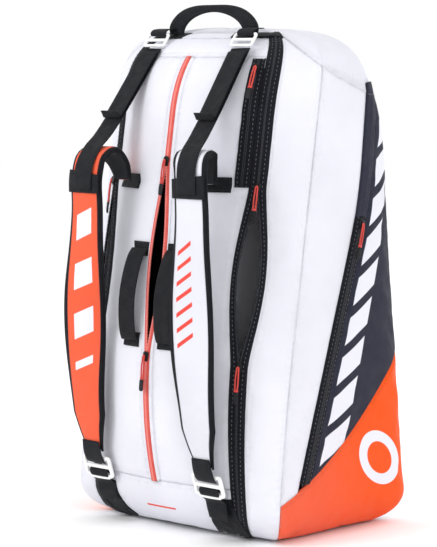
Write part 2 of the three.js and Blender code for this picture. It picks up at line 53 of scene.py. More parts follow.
MM = 0.001
HEIGHT, HALF_WIDTH, RIDGE_Y = 752, 215, 10
BASE_FILLET, BACK_CORNER = 50, 40
BELLY_Z, BELLY_Y, BELLY_RADIUS, BELLY_TOP = 216, -177.5, 550, 300
SEAM_SETBACK, SEAM_SETBACK_LOSS, SETBACK_FADE = 85, 45, 240
BACK_AT_BASE, BACK_LEAN = 198, 0.108
FRONT_DOME, BACK_DOME, SIDE_DOME = (620, 2.4), (560, 2), (600, 5)
YOKE_SEAM, LOW_SEAM = 711, 78
BACK_SEAM = 2.25  # in s, see surface()
TOP_SEAM_FRONT, TOP_SEAM_SIDE, TOP_SEAM_BACK = 745, 697, 658
ZIP_TAPE, ZIP_TAPE_OPEN, MAIN_X = 10, 6, 150
CENTRE_ZIP, MAIN_ZIP = (0, 268, 555, 25), (MAIN_X, 260, 520, 30)
SIDE_ZIP_TOP, SIDE_ZIP_HALF = 462, 12
MIDDLE = np.array([0, RIDGE_Y, HEIGHT / 2])
REACH = np.array([HALF_WIDTH, 165, HEIGHT / 2])
SIDES = (("left", -1), ("right", 1))
ACROSS, UP = (1, 0, 0), (0, 0, 1)


def lerp(a, b, t):
    return a + (b - a) * t


def dome(z, shape):
    rise = np.clip((z - shape[0]) / (HEIGHT - shape[0]), 0, 1)
    return (1 - rise ** shape[1]) ** (1 / shape[1])


def belly(z):
    low = np.minimum(z, BELLY_TOP)
    run = BELLY_TOP - BELLY_Z
    lean = run / math.sqrt(BELLY_RADIUS**2 - run**2)
    arc = BELLY_Y + BELLY_RADIUS - np.sqrt(BELLY_RADIUS**2 - (low - BELLY_Z) ** 2)
    return arc + lean * np.maximum(z - BELLY_TOP, 0)


def base_inset(z):
    drop = np.clip(BASE_FILLET - z, 0, BASE_FILLET)
    return BASE_FILLET - np.sqrt(BASE_FILLET**2 - drop**2)


def outline(z):
    """Half width, strap face, side seam setback, back face and corner radius at height z."""
    inset = base_inset(z)
    half = HALF_WIDTH * dome(z, SIDE_DOME) - inset
    front = RIDGE_Y + (belly(z) - RIDGE_Y) * dome(z, FRONT_DOME) + inset
    back = RIDGE_Y + (BACK_AT_BASE - BACK_LEAN * z - RIDGE_Y) * dome(z, BACK_DOME) - inset
    fade = np.clip((BELLY_TOP - z) / SETBACK_FADE, 0, 1.25)
    setback = (SEAM_SETBACK - SEAM_SETBACK_LOSS * fade**2) * dome(z, FRONT_DOME)
    return half, front, setback, back, BACK_CORNER * dome(z, BACK_DOME)


def surface(s, z):
    """A point of the outside: s is 0 at the strap face, 1 at the side seam, 3 at the back."""
    s, z = np.broadcast_arrays(np.asarray(s, float), np.asarray(z, float))
    beyond = np.abs(s) > 3
    t = np.where(beyond, 6 - np.abs(s), np.abs(s))
    hand = np.where((s < 0) == beyond, 1, -1)
    half, front, setback, back, radius = outline(z)
    turn = np.clip((t - 2) / 0.5, 0, 1) * math.pi / 2
    x = np.select(
        [t <= 1, t <= 2, t <= 2.5],
        [half * t, half, half - radius + radius * np.cos(turn)],
        lerp(half - radius, 0, (t - 2.5) / 0.5),
    )
    y = np.select(
        [t <= 1, t <= 2, t <= 2.5],
        [front + setback * t * t, lerp(front + setback, back - radius, t - 1),
         back - radius + radius * np.sin(turn)],
        back,
    )
    return np.stack([hand * x, y, z], -1)


def sink(p, depth):
    depth = np.asarray(depth, float)[..., None]
    return (p - MIDDLE) * (1 - depth / REACH) + MIDDLE


def to_angle(z):
    return np.arccos(np.clip(1 - 2 * z / HEIGHT, -1, 1))


def between(low, high, v):
    return HEIGHT / 2 * (1 - np.cos(lerp(to_angle(low), to_angle(high), v)))


def meet(s_at, z_at):
    z = z_at(1.0)
    for _ in range(20):
        z = z_at(s_at(z))
    return s_at(z), z


def field(left, right, low, high):
    """Blends four edges: left and right are s by height, low and high are z by position."""
    a, b, c, d = meet(left, low), meet(right, low), meet(right, high), meet(left, high)

    def inside(u, v):
        z_left, z_right = between(a[1], d[1], v), between(b[1], c[1], v)
        s_low, s_high = lerp(a[0], b[0], u), lerp(d[0], c[0], u)
        s = lerp(left(z_left), right(z_right), u) + lerp(s_low, s_high, v)
        z = lerp(z_left, z_right, u) + lerp(low(s_low), high(s_high), v)
        s = s - lerp(lerp(a[0], b[0], u), lerp(d[0], c[0], u), v)
        return s, z - lerp(lerp(a[1], b[1], u), lerp(d[1], c[1], u), v)

    return inside


def constant(value):
    return lambda t: value + 0 * np.asarray(t, float)


def to_s(mm):
    return mm / HALF_WIDTH


def open_share(zip_, z):
    t = np.clip((z - zip_[1]) / (zip_[2] - zip_[1]), 0, 1)
    return np.clip(np.sin(np.pi * t), 0, 1) ** 1.3


def mouth(zip_, z):
    return 1 + zip_[3] / 2 * open_share(zip_, z)


def tape_width(zip_, z):
    return lerp(ZIP_TAPE, ZIP_TAPE_OPEN, open_share(zip_, z))


def top_seam(s):
    t = np.abs(np.asarray(s, float))
    t = np.where(t > 3, 6 - t, t)
    edge = to_s(MAIN_X + ZIP_TAPE)
    across = lerp(TOP_SEAM_FRONT, TOP_SEAM_SIDE, np.clip((t - edge) / (1 - edge), 0, 1))
    return np.where(t <= 1, across, lerp(TOP_SEAM_SIDE, TOP_SEAM_BACK, np.clip(t - 1, 0, 1)))


def centre_edge(z):
    return to_s(mouth(CENTRE_ZIP, z) + tape_width(CENTRE_ZIP, z))


def main_edge_in(z):
    return to_s(MAIN_X - tape_width(MAIN_ZIP, z) - mouth(MAIN_ZIP, z))


def main_edge_out(z):
    return to_s(MAIN_X + tape_width(MAIN_ZIP, z) + mouth(MAIN_ZIP, z))


def side_s(y, z):
    start = surface(1, z)[..., 1]
    return 1 + (y - start) / (surface(2, z)[..., 1] - start)


def pocket_line(z, shift=0.0):
    """The front edge of the side pocket: straight, a bend between two heights, and straight."""
    z = np.asarray(z, float)
    y0, low, high, lean_low, lean_high = 48, 430, 560, 0.3205, 0.1
    bend = np.clip(z, low, high) - low
    turned = (lean_high - lean_low) * bend * bend / (2 * (high - low))
    above = (lean_high - lean_low) * np.maximum(z - high, 0)
    return side_s(y0 + lean_low * (z - low) + turned + above + shift, z)


def corner_border(s):
    z = 60 + 0 * np.asarray(s, float)
    for _ in range(12):
        along = np.maximum(surface(s, z)[..., 1] + 115, 0)
        z = 60 + 0.33 * along + 0.0016 * along**2
    return z


# ---------------------------------------------------------------- materials


def rgb(code):
    """Linear colour of an 0xRRGGBB code."""
    parts = [((code >> shift) & 255) / 255 for shift in (16, 8, 0)]
    return [c / 12.92 if c < 0.04045 else ((c + 0.055) / 1.055) ** 2.4 for c in parts] + [1]


def shade(base, gain, lift=0.0):
    """A colour made brighter or darker."""
    return [min(c * gain + lift, 1) for c in base[:3]] + [1]


class Shader:
    """A node material, with short calls for the nodes it is made of."""

    def __init__(self, name):
        self.material = bpy.data.materials.new(name)
        self.material.use_nodes = True
        self.tree = self.material.node_tree
        self.bsdf = self.tree.nodes["Principled BSDF"]

    def node(self, kind, **settings):
        made = self.tree.nodes.new("ShaderNode" + kind)
        for key, value in settings.items():
            setattr(made, key, value)
        return made

    def put(self, socket, value):
        if isinstance(value, bpy.types.NodeSocket):
            self.tree.links.new(value, socket)
        else:
            socket.default_value = value

    def math(self, operation, a, b=0.0):
        made = self.node("Math", operation=operation)
        self.put(made.inputs[0], a)
        self.put(made.inputs[1], b)
        return made.outputs[0]

    def smooth(self, value, low, high, to_low=0.0, to_high=1.0):
        made = self.node("MapRange", interpolation_type="SMOOTHSTEP")
        self.put(made.inputs["Value"], value)
        for key, number in (("From Min", low), ("From Max", high), ("To Min", to_low),
                            ("To Max", to_high)):
            self.put(made.inputs[key], number)
        return made.outputs["Result"]

    def mix(self, share, a, b, kind="MIX"):
        made = self.node("Mix", data_type="RGBA", blend_type=kind)
        for index, value in ((0, share), (6, a), (7, b)):
            self.put(made.inputs[index], value)
        return made.outputs[2]

    def coordinates(self):
        made = self.node("SeparateXYZ")
        self.put(made.inputs[0], self.node("TexCoord").outputs["UV"])
        return made.outputs[:2]

    def noise(self, scale, detail=3.0):
        made = self.node("TexNoise")
        self.put(made.inputs["Vector"], self.node("TexCoord").outputs["Object"])
        self.put(made.inputs["Scale"], scale)
        self.put(made.inputs["Detail"], detail)
        return made.outputs["Fac"]

    def patchy(self, scale, detail, low, high):
        """Soft patches between two values."""
        return self.smooth(self.noise(scale, detail), 0.3, 0.7, low, high)

    def wave(self, value, pitch):
        """A sine of the given pitch in metres, from -1 to 1."""
        return self.math("SINE", self.math("MULTIPLY", value, 2 * math.pi / pitch))

    def bump(self, height, distance, strength=1.0):
        made = self.node("Bump")
        self.put(made.inputs["Height"], height)
        self.put(made.inputs["Distance"], distance)
        self.put(made.inputs["Strength"], strength)
        earlier = self.bsdf.inputs["Normal"].links
        if earlier:
            self.put(made.inputs["Normal"], earlier[0].from_socket)
        self.put(self.bsdf.inputs["Normal"], made.outputs["Normal"])

    def border(self):
        """0 at the rim of a piece, 1 well inside it."""
        return self.node("Attribute", attribute_name="border").outputs["Fac"]

    def finish(self, colour, roughness, sheen=0.0, specular=0.5, metal=0.0):
        inputs = self.bsdf.inputs
        self.put(inputs["Base Color"], colour)
        self.put(inputs["Roughness"], roughness)
        inputs["Sheen Weight"].default_value = sheen
        inputs["Specular IOR Level"].default_value = specular
        inputs["Metallic"].default_value = metal


def inside_bar(sh, value, low, high, soft=0.0006):
    """1 between low and high, 0 outside."""
    rising = sh.smooth(value, low - soft, low + soft)
    return sh.math("MULTIPLY", rising, sh.smooth(value, high - soft, high + soft, 1, 0))


def fabric(name, code, pitch=0.0011, roughness=0.66, sheen=0.06, prints=(), second=None):
    """Woven polyester: threads both ways, soft tone changes, puckers at seams, edges darkened partly by
    grime and partly by painted seam shade.
    """
    sh = Shader(name)
    u, v = sh.coordinates()
    base, edge = rgb(code), sh.border()
    colour = sh.mix(sh.patchy(9, 4, 0, 1), shade(base, 0.934), base)
    if second:
        along, low, high, other = second
        colour = sh.mix(sh.smooth((u, v)[along], low, high), colour, rgb(other))
    weave = sh.math("MULTIPLY", sh.wave(u, pitch), sh.wave(v, pitch))
    thread = sh.node("CombineColor")
    for socket in thread.inputs:
        sh.put(socket, sh.smooth(weave, -1, 1, 0.94, 1))
    colour = sh.mix(1.0, colour, thread.outputs[0], "MULTIPLY")
    rough = sh.patchy(60, 4, roughness - 0.07, roughness + 0.07)
    for mask, other in prints:
        printed = mask(sh, u, v)
        worn = sh.math("MULTIPLY", printed, sh.smooth(sh.noise(420, 2), 0.24, 0.34, 0.86, 1))
        colour = sh.mix(worn, colour, rgb(other))
        rough = sh.math("SUBTRACT", rough, sh.math("MULTIPLY", printed, 0.16))
    # Darker towards the seams: partly grime, partly painted shade where the panels meet.
    grime_and_seam_shade = sh.math("MULTIPLY", sh.smooth(edge, 0, 0.35, 0.14, 0),
                    sh.smooth(sh.noise(34, 4), 0.35, 0.65))
    sh.finish(sh.mix(grime_and_seam_shade, colour, shade(base, 0.55)), rough, sheen, 0.22)
    sh.bsdf.inputs["Sheen Roughness"].default_value = 0.4
    sh.bump(sh.noise(22), 0.004, 0.3)
    sh.bump(sh.noise(7, 2), 0.012, 0.16)
    pucker = sh.math("MULTIPLY", sh.math("ADD", sh.wave(u, 0.011), sh.wave(v, 0.011)),
                     sh.smooth(edge, 0.05, 0.75, 1, 0))
    sh.bump(pucker, 0.00035, 0.7)
    sh.bump(weave, 0.00012, 0.8)
    return sh.material


def webbing_material(name, code, pitch=0.0024):
    """Flat woven tape: ribs across it, a herringbone of threads whose lighter colour is painted highlight
    on the weave, paler rubbed edges.
    """
    sh = Shader(name)
    u, v = sh.coordinates()
    slant = sh.math("ADD", v, sh.math("MULTIPLY", sh.math("ABSOLUTE", u), 0.5))
    threads = sh.math("MULTIPLY", sh.wave(u, pitch * 1.2), sh.wave(slant, pitch))
    base = rgb(code)
    # The herringbone is real weave; its lighter threads are painted highlights on the ribs.
    colour = sh.mix(sh.smooth(threads, -1, 1, 0, 0.55), base, shade(base, 1.7, 0.006))
    rubbed = sh.math("MULTIPLY", sh.smooth(sh.border(), 0, 0.2, 0.5, 0),
                     sh.smooth(sh.noise(90, 4), 0.4, 0.62))
    sh.finish(sh.mix(rubbed, colour, shade(base, 1.7, 0.006)), sh.patchy(70, 3, 0.54, 0.68),
              0.02, 0.16)
    sh.bump(threads, 0.0003, 0.9)
    return sh.material


def mesh_material(name, code, pitch=0.0032):
    """Spacer mesh: rows of small round holes."""
    sh = Shader(name)
    u, v = sh.coordinates()
    rows = sh.math("MULTIPLY", sh.wave(u, pitch), sh.wave(v, pitch))
    hole = sh.smooth(sh.math("ABSOLUTE", rows), 0.35, 0.75)
    base = rgb(code)
    sh.finish(sh.mix(hole, shade(base, 1.9, 0.004), shade(base, 0.35)),
              sh.patchy(80, 3, 0.75, 0.9), 0.05, 0.16)
    sh.bump(sh.math("SUBTRACT", 1.0, hole), 0.0006)
    return sh.material


def moulded(name, code, roughness, metal=0.0, wear=0.0):
    """Moulded plastic or painted metal: fine grain, faint flow marks, rubbed spots."""
    sh = Shader(name)
    base = rgb(code)
    spots = sh.smooth(sh.noise(240, 5), 0.52, 0.68, 0, max(wear, 0.06))
    colour = sh.mix(sh.patchy(26, 3, 0, 1), shade(base, 0.94), base)
    rubbed = shade(base, 2.4, 0.05) if wear else shade(base, 0.8)
    sh.finish(sh.mix(spots, colour, rubbed), sh.patchy(120, 4, roughness - 0.06, roughness + 0.08),
              0.0, 0.3, metal)
    sh.bump(sh.noise(900, 2), 0.00008, 0.6)
    return sh.material


def thread_material(name, code, pitch=0.0012):
    """Twisted thread or cord: a slanted lay along it."""
    sh = Shader(name)
    u, v = sh.coordinates()
    lay = sh.wave(sh.math("ADD", v, sh.math("MULTIPLY", u, 0.6)), pitch)
    base = rgb(code)
    sh.finish(sh.mix(sh.smooth(lay, -1, 1), shade(base, 0.72), base), sh.patchy(200, 3, 0.5, 0.65),
              0.15)
    sh.bump(lay, 0.00025, 0.8)
    return sh.material


def speed_bars(pitch, share, slant, half, low, high, shift=0.0):
    """A row of slanted bars along v, inside a band about u = shift."""
    def mask(sh, u, v):
        across = sh.math("SUBTRACT", u, shift)
        along = sh.math("ADD", v, sh.math("MULTIPLY", across, slant))
        place = sh.math("FRACT", sh.math("DIVIDE", along, pitch))
        bar = inside_bar(sh, place, 0.5 - share / 2, 0.5 + share / 2, 0.0008 / pitch)
        row = sh.math("MULTIPLY", inside_bar(sh, across, -half, half),
                      inside_bar(sh, along, low, high))
        return sh.math("MULTIPLY", bar, row)
    return mask


def ring(centre_u, centre_v, radius, half):
    """A plain ring."""
    def mask(sh, u, v):
        du, dv = sh.math("SUBTRACT", u, centre_u), sh.math("SUBTRACT", v, centre_v)
        squares = sh.math("ADD", sh.math("MULTIPLY", du, du), sh.math("MULTIPLY", dv, dv))
        return inside_bar(sh, sh.math("SQRT", squares), radius - half, radius + half)
    return mask


def dash(low_u, high_u, low_v, high_v):
    def mask(sh, u, v):
        return sh.math("MULTIPLY", inside_bar(sh, u, low_u, high_u), inside_bar(sh, v, low_v, high_v))
    return mask


WHITE, NAVY, CORAL, ORANGE = 0xE7E7F0, 0x232536, 0xF0603E, 0xF4540C
white = fabric("white_polyester", WHITE)
navy = fabric("navy_polyester", NAVY, prints=[
    (speed_bars(0.058, 0.7, -0.4, 0.036, 0.116, 0.638, 0.054), WHITE)])
navy_plain = fabric("navy_polyester_plain", NAVY)
orange = fabric("orange_polyester", CORAL, second=(0, 0.03, 0.24, ORANGE), prints=[
    (ring(0.228, 0.108, 0.034, 0.0085), WHITE)])
yoke_white = fabric("white_polyester_marked", WHITE, prints=[
    (dash(-0.03, 0.03, 0.074, 0.0775), 0xE0453A)])
base_dark = fabric("base_polyester", 0x2A2B30, pitch=0.0018, roughness=0.72)
lining = fabric("lining", 0x16171E, pitch=0.0016, roughness=0.8, sheen=0.1)
silver_lining = fabric("silver_lining", 0xDCDCE4, pitch=0.0016, roughness=0.5, sheen=0.1)
pad_white = fabric("pad_white", 0xE1E1EA, prints=[
    (speed_bars(0.022, 0.3, 0.7, 0.012, 0.2, 0.345, -0.008), 0xE0453A)])
pad_orange = fabric("pad_orange", CORAL, prints=[
    (speed_bars(0.074, 0.52, 0.45, 0.015, 0.1, 0.4), WHITE)])
pad_mesh = mesh_material("spacer_mesh", 0x1B1C22)
black_web = webbing_material("black_webbing", 0x0D0E14, pitch=0.0036)
zip_black = webbing_material("black_zip_tape", 0x0F1018, pitch=0.0009)
zip_red = webbing_material("red_zip_tape", 0xE0574E, pitch=0.0009)
coil_black = moulded("black_coil", 0x1B1C23, 0.38)
coil_red = moulded("coral_coil", 0xE98078, 0.45)
metal_black = moulded("slider_enamel", 0x131418, 0.34, metal=0.3, wear=0.16)
plastic_white = moulded("white_acetal", 0xF1F1F1, 0.34)
tab_black = moulded("tab_rubber", 0x131419, 0.6)
red_cord = thread_material("red_cord", 0xDF3F35, pitch=0.0018)
thread_white = thread_material("white_thread", 0xE2E2EA)
thread_grey = thread_material("grey_thread", 0x8C8E99)
thread_black = thread_material("black_thread", 0x24252C)
piping_black = webbing_material("black_piping", 0x0E0F15, pitch=0.0012)

# ---------------------------------------------------------------- meshes from grids


def new_object(name, vertices, faces, materials, face_material=None, uv=None, border=None):
    """One mesh object in metres from points in mm. uv is per vertex, in mm."""
    mesh = bpy.data.meshes.new(name)
    mesh.from_pydata((np.asarray(vertices, float) * MM).tolist(), [], faces)
    for material in materials:
        mesh.materials.append(material)
    if face_material is not None:
        mesh.polygons.foreach_set("material_index", np.asarray(face_material, np.int32))
    corners = np.zeros(len(mesh.loops), np.int32)
    mesh.loops.foreach_get("vertex_index", corners)
    if uv is not None:
        layer = mesh.uv_layers.new(name="UVMap")
        layer.data.foreach_set("uv", (np.asarray(uv, float)[corners] * MM).ravel())
    share = np.ones(len(mesh.vertices)) if border is None else np.asarray(border, float)
    mesh.attributes.new("border", "FLOAT", "POINT").data.foreach_set("value", share)
    made = bpy.data.objects.new(name, mesh)
    scene.collection.objects.link(made)
    mesh.shade_smooth()
    return made


def tidy_mesh(obj, merge=0.0):
    """Merges doubled points and turns every face outwards."""
    work = bmesh.new()
    work.from_mesh(obj.data)
    if merge:
        bmesh.ops.remove_doubles(work, verts=work.verts, dist=merge)
        bmesh.ops.dissolve_degenerate(work, edges=work.edges, dist=merge / 4)
    bmesh.ops.recalc_face_normals(work, faces=work.faces)
    work.to_mesh(obj.data)
    work.free()
    obj.data.shade_smooth()


def distances(points, axis):
    step = np.linalg.norm(np.diff(points, axis=axis), axis=-1)
    zero = np.zeros_like(np.take(step, [0], axis=axis))
    return np.concatenate([zero, np.cumsum(step, axis=axis)], axis=axis)


def crisp_rim(obj, rim):
    """Keeps the rim of a wall where it is when its mesh is smoothed."""
    crease = obj.data.attributes.new("crease_edge", "FLOAT", "EDGE")
    crease.data.foreach_set("value", [
        float(edge.vertices[0] in rim and edge.vertices[1] in rim) for edge in obj.data.edges])


def quilt(name, outer, inner, materials, wrap=False, upright=False):
    """A closed two-layer wall from two grids of points, its outer layer first.

    Upright cloth has its texture measured from the first edge and from the ground."""
    columns, rows = outer.shape[0] - 1, outer.shape[1] - 1
    across, v = distances(outer, 0), distances(outer, 1)
    u = across if wrap or upright else across - across[-1:] / 2
    uv = np.stack([u, outer[..., 2] if upright else v], -1)
    from_edge = np.minimum(v, v[:, -1:] - v)
    if not wrap:
        from_edge = np.minimum(from_edge, np.minimum(across, across[-1:] - across))
    border = np.clip(from_edge / BORDER_WIDTH, 0, 1)
    count = (columns + 1) * (rows + 1)
    number = np.arange(count).reshape(columns + 1, rows + 1)
    faces, kinds = [], []
    for i in range(columns):
        for j in range(rows):
            a, b, c, d = number[i, j], number[i + 1, j], number[i + 1, j + 1], number[i, j + 1]
            faces += [(a, b, c, d), (d + count, c + count, b + count, a + count)]
            kinds += [0, len(materials) - 1]
    rim = [(number[i, 0], number[i + 1, 0]) for i in range(columns)]
    rim += [(number[i + 1, rows], number[i, rows]) for i in range(columns)]
    if not wrap:
        rim += [(number[columns, j], number[columns, j + 1]) for j in range(rows)]
        rim += [(number[0, j + 1], number[0, j]) for j in range(rows)]
    faces += [(b, a, a + count, b + count) for a, b in rim]
    kinds += [0] * len(rim)
    made = new_object(
        name, np.concatenate([outer.reshape(-1, 3), inner.reshape(-1, 3)]), faces, materials, kinds,
        np.concatenate([uv.reshape(-1, 2)] * 2), np.concatenate([border.ravel()] * 2))
    edge = {int(n) for pair in rim for n in pair}
    held = made.vertex_groups.new(name="held")
    held.add([*edge, *range(count, 2 * count)], 1.0, "REPLACE")
    sharp = {int(n) for n in number[:, 0]} if wrap else edge
    crisp_rim(made, sharp | {n + count for n in sharp})
    tidy_mesh(made, merge=DOUBLED if wrap else 0.0)
    return made


BORDER_WIDTH = 30  # mm from a seam to where its puckers, its wear and its painted seam shade end
DOUBLED = 0.00005  # m, the distance below which two points are one
CELL = 8.0  # mm between the threads of a simulated panel
TRIM = 0.12  # mm of gap on each side of a seam
SEAM_DEPTH, SKIN_DEPTH, CHANNEL_DEPTH, LINING_DEPTH = 2.7, 1.6, 3.2, 5.0
CHANNELS = (525, 300)
panels, sewn_rows = [], set()


def panel_grid(edges, hand):
    """A grid of points on the outside, inside four edges."""
    inside = field(*edges)
    coarse = np.linspace(0, 1, 9)
    middle = surface(*inside(coarse[:, None], coarse[None, :]))
    across = distances(middle, 0)[-1].max()
    up = distances(middle, 1)[:, -1].max()
    u = np.linspace(0, 1, max(2, round(across / CELL)) + 1)[:, None]
    v = np.linspace(0, 1, max(2, round(up / CELL)) + 1)[None, :]
    width = np.linalg.norm(surface(*inside(0 * v, v)) - surface(*inside(0 * v + 1, v)), axis=-1)
    height = np.linalg.norm(surface(*inside(u, 0 * u)) - surface(*inside(u, 0 * u + 1)), axis=-1)
    s, z = inside(lerp(TRIM / width, 1 - TRIM / width, u), lerp(TRIM / height, 1 - TRIM / height, v))
    return surface(hand * s, z)


def panel(node, edges, material, hand=1, inner=lining, channels=(), upright=False):
    """A panel of cloth; channels are heights where it is sewn down to its lining."""
    points = panel_grid(edges, hand)
    depth = np.full(points.shape[:2], SKIN_DEPTH)
    rows = [int(np.argmin(np.abs(points[0, :, 2] - z))) for z in channels]
    depth[:, rows] = CHANNEL_DEPTH
    depth[[0, -1], :] = SEAM_DEPTH
    depth[:, [0, -1]] = SEAM_DEPTH
    made = quilt(node + "_fabric", sink(points, depth), sink(points, LINING_DEPTH), [material, inner],
                 upright=upright)
    number = np.arange(depth.size).reshape(depth.shape)
    made.vertex_groups["held"].add(number[:, rows].ravel().tolist(), 1.0, "REPLACE")
    sewn_rows.update(float(points[0, row, 2]) for row in rows)
    panels.append(made)
    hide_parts(node)


def side_panels(name, hand):
    """Gusset, side panel, side pocket, bottom corner and centre panel of one side."""
    before, behind = (lambda z, k=k: pocket_line(z, k * SIDE_ZIP_HALF) for k in (-1, 1))
    side, back, ground = constant(1), constant(BACK_SEAM), constant(0)
    for node, material, edges in (
        ("gusset_", white, (main_edge_out, side, ground, top_seam)),
        ("side_panel_", white, (side, before, corner_border, top_seam)),
        ("side_pocket_", navy, (behind, back, corner_border, top_seam)),
        ("corner_panel_", orange, (side, back, ground, corner_border)),
    ):
        panel(node + name, edges, material, hand, silver_lining, upright=material is not white)
    edges = (centre_edge, main_edge_in, constant(LOW_SEAM), constant(YOKE_SEAM))
    panel("centre_panel_" + name, edges, white, hand, channels=CHANNELS)


def middle_panels():
    half = to_s(MAIN_X - ZIP_TAPE)
    for node, material, left, right, low, high in (
        ("top_yoke", white, -half, half, YOKE_SEAM, TOP_SEAM_FRONT),
        ("lower_yoke", yoke_white, -half, half, 0, LOW_SEAM),
        ("back_panel", white, BACK_SEAM, 6 - BACK_SEAM, 0, TOP_SEAM_BACK),
    ):
        panel(node, [constant(edge) for edge in (left, right, low, high)], material)


def height_of(x, y):
    """The height of the domed end over a point of the ground plan."""
    low, high = np.full(x.shape, 600.0), np.full(x.shape, float(HEIGHT))
    for _ in range(34):
        z = (low + high) / 2
        half, front, setback, back, radius = outline(z)
        share = np.abs(x) / np.maximum(half, 1e-6)
        into = np.maximum(np.abs(x) - (half - radius), 0)
        back = back - radius + np.sqrt(np.maximum(radius**2 - into**2, 0))
        fits = (share <= 1) & (y >= front + setback * share**2) & (y <= back)
        low, high = np.where(fits, z, low), np.where(fits, high, z)
    return low


def top_panel():
    around = np.linspace(-3, 3, 161)
    rim = surface(around, top_seam(around) + TRIM)
    share = np.linspace(0, 1, 19)[None, :, None]
    plan = lerp(rim[:, None, :2], np.array([0, RIDGE_Y]), share)
    z = height_of(plan[..., 0], plan[..., 1])
    z[:, 0] = rim[:, 2]
    points = np.concatenate([plan, z[..., None]], -1)
    points[:, -1] = [0, RIDGE_Y, HEIGHT]
    depth = np.full(points.shape[:2], SKIN_DEPTH)
    depth[:, 0] = SEAM_DEPTH
    made = quilt("top_panel_fabric", sink(points, depth), sink(points, LINING_DEPTH),
                 [white, lining], wrap=True)
    panels.append(made)
    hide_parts("top_panel")


def base_panel():
    rim = sink(surface(np.linspace(-3, 3, 121), 0), 4.0)
    share = np.linspace(0, 1, 14)[None, :, None]
    plan = lerp(rim[:, None, :], np.array([0, 20, 0]), share)
    outer, inner = plan.copy(), plan.copy()
    outer[..., 2], inner[..., 2] = 1.2, 5.0
    outer[:, 0, 2], inner[:, 0, 2] = 2.4, 4.0
    made = quilt("base_panel_fabric", outer, inner, [base_dark, lining], wrap=True)
    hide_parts("base_panel")
    return made


for name, hand in SIDES:
    side_panels(name, hand)
middle_panels()
top_panel()
base = base_panel()

# ---------------------------------------------------------------- cloth


def simulate(objects, cap, slack, frames):
    """Inflates each skin between its held edges, then keeps the shape within the cap."""
    for obj in objects:
        cloth = obj.modifiers.new("cloth", "CLOTH")
        settings = cloth.settings
        settings.quality = 4
        settings.mass = 0.2
        settings.tension_stiffness = settings.compression_stiffness = 25
        settings.shear_stiffness = 8
        settings.bending_stiffness = 0.6
        settings.use_pressure = True
        settings.uniform_pressure_force = 4.0
        settings.shrink_min = -slack
        settings.vertex_group_mass = "held"
        settings.effector_weights.gravity = 0
        cloth.collision_settings.use_collision = False
        cloth.point_cache.frame_start, cloth.point_cache.frame_end = 1, frames
    for step in range(1, frames + 1):
        scene.frame_set(step)
    graph = bpy.context.evaluated_depsgraph_get()
    for obj in objects:
        rest = np.zeros(len(obj.data.vertices) * 3)
        moved = rest.copy()
        obj.data.vertices.foreach_get("co", rest)
        shown = obj.evaluated_get(graph)
        shown.to_mesh().vertices.foreach_get("co", moved)
        shown.to_mesh_clear()
        step = (moved - rest).reshape(-1, 3)
        length = np.linalg.norm(step, axis=1, keepdims=True)
        limit = cap * np.tanh(length / cap) / np.maximum(length, 1e-9)
        obj.data.vertices.foreach_set("co", (rest.reshape(-1, 3) + step * limit).ravel())
        obj.modifiers.remove(obj.modifiers["cloth"])
        obj.data.update()
    scene.frame_set(1)


def smoothed(obj, levels):
    if levels:
        obj.modifiers.new("smooth", "SUBSURF").levels = levels
        obj.modifiers["smooth"].render_levels = levels


def on_body(obj, body, levels=0, node=None):
    """Gives a piece its body and the CAD node that it replaces."""
    smoothed(obj, levels)
    if node:
        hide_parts(node)
    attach(obj, body)


def across_joint(obj, a, b, start, end, slot="webbing", levels=0, node=None):
    """A piece between two bodies: smoothed, with the CAD node it replaces hidden and its place baked into
    its mesh.
    """
    smoothed(obj, levels)
    if node:
        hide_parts(node)
    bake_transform(obj)


simulate(panels, cap=0.0032, slack=0.006, frames=16)
for piece in [*panels, base]:
    on_body(piece, "bag", 1)

# ---------------------------------------------------------------- swept pieces


def unit(v):
    return v / np.maximum(np.linalg.norm(v, axis=-1, keepdims=True), 1e-9)


def resample(points, step):
    """Points an even step apart along a polyline, in mm."""
    along = distances(points, 0)
    at = np.linspace(0, along[-1], max(2, round(along[-1] / step)) + 1)
    return np.stack([np.interp(at, along, points[:, k]) for k in range(points.shape[1])], -1)


def spline(points, step=4.0):
    """A centripetal Catmull-Rom curve through points, an even step apart."""
    p = np.asarray(points, float)
    p = np.vstack([2 * p[0] - p[1], p, 2 * p[-1] - p[-2]])
    t = np.concatenate([[0], np.cumsum(np.linalg.norm(np.diff(p, axis=0), axis=1) ** 0.5)])
    out = []
    for i in range(1, len(p) - 2):
        x = np.linspace(t[i], t[i + 1], 24, endpoint=False)[:, None]

        def mixed(a, b, j, k):
            return ((t[k] - x) * a + (x - t[j]) * b) / (t[k] - t[j])

        a1, a2 = mixed(p[i - 1], p[i], i - 1, i), mixed(p[i], p[i + 1], i, i + 1)
        a3 = mixed(p[i + 1], p[i + 2], i + 1, i + 2)
        out.append(mixed(mixed(a1, a2, i - 1, i + 1), mixed(a2, a3, i, i + 2), i, i + 1))
    return resample(np.vstack([*out, p[-2:-1]]), step)


def tangents(points, closed=False):
    if closed:
        return unit(np.roll(points, -1, 0) - np.roll(points, 1, 0))
    return unit(np.gradient(points, axis=0))


def square_to(along, across):
    """The direction across, made square to the way along."""
    across = np.broadcast_to(np.asarray(across, float), along.shape)
    return unit(across - along * (across * along).sum(-1, keepdims=True))


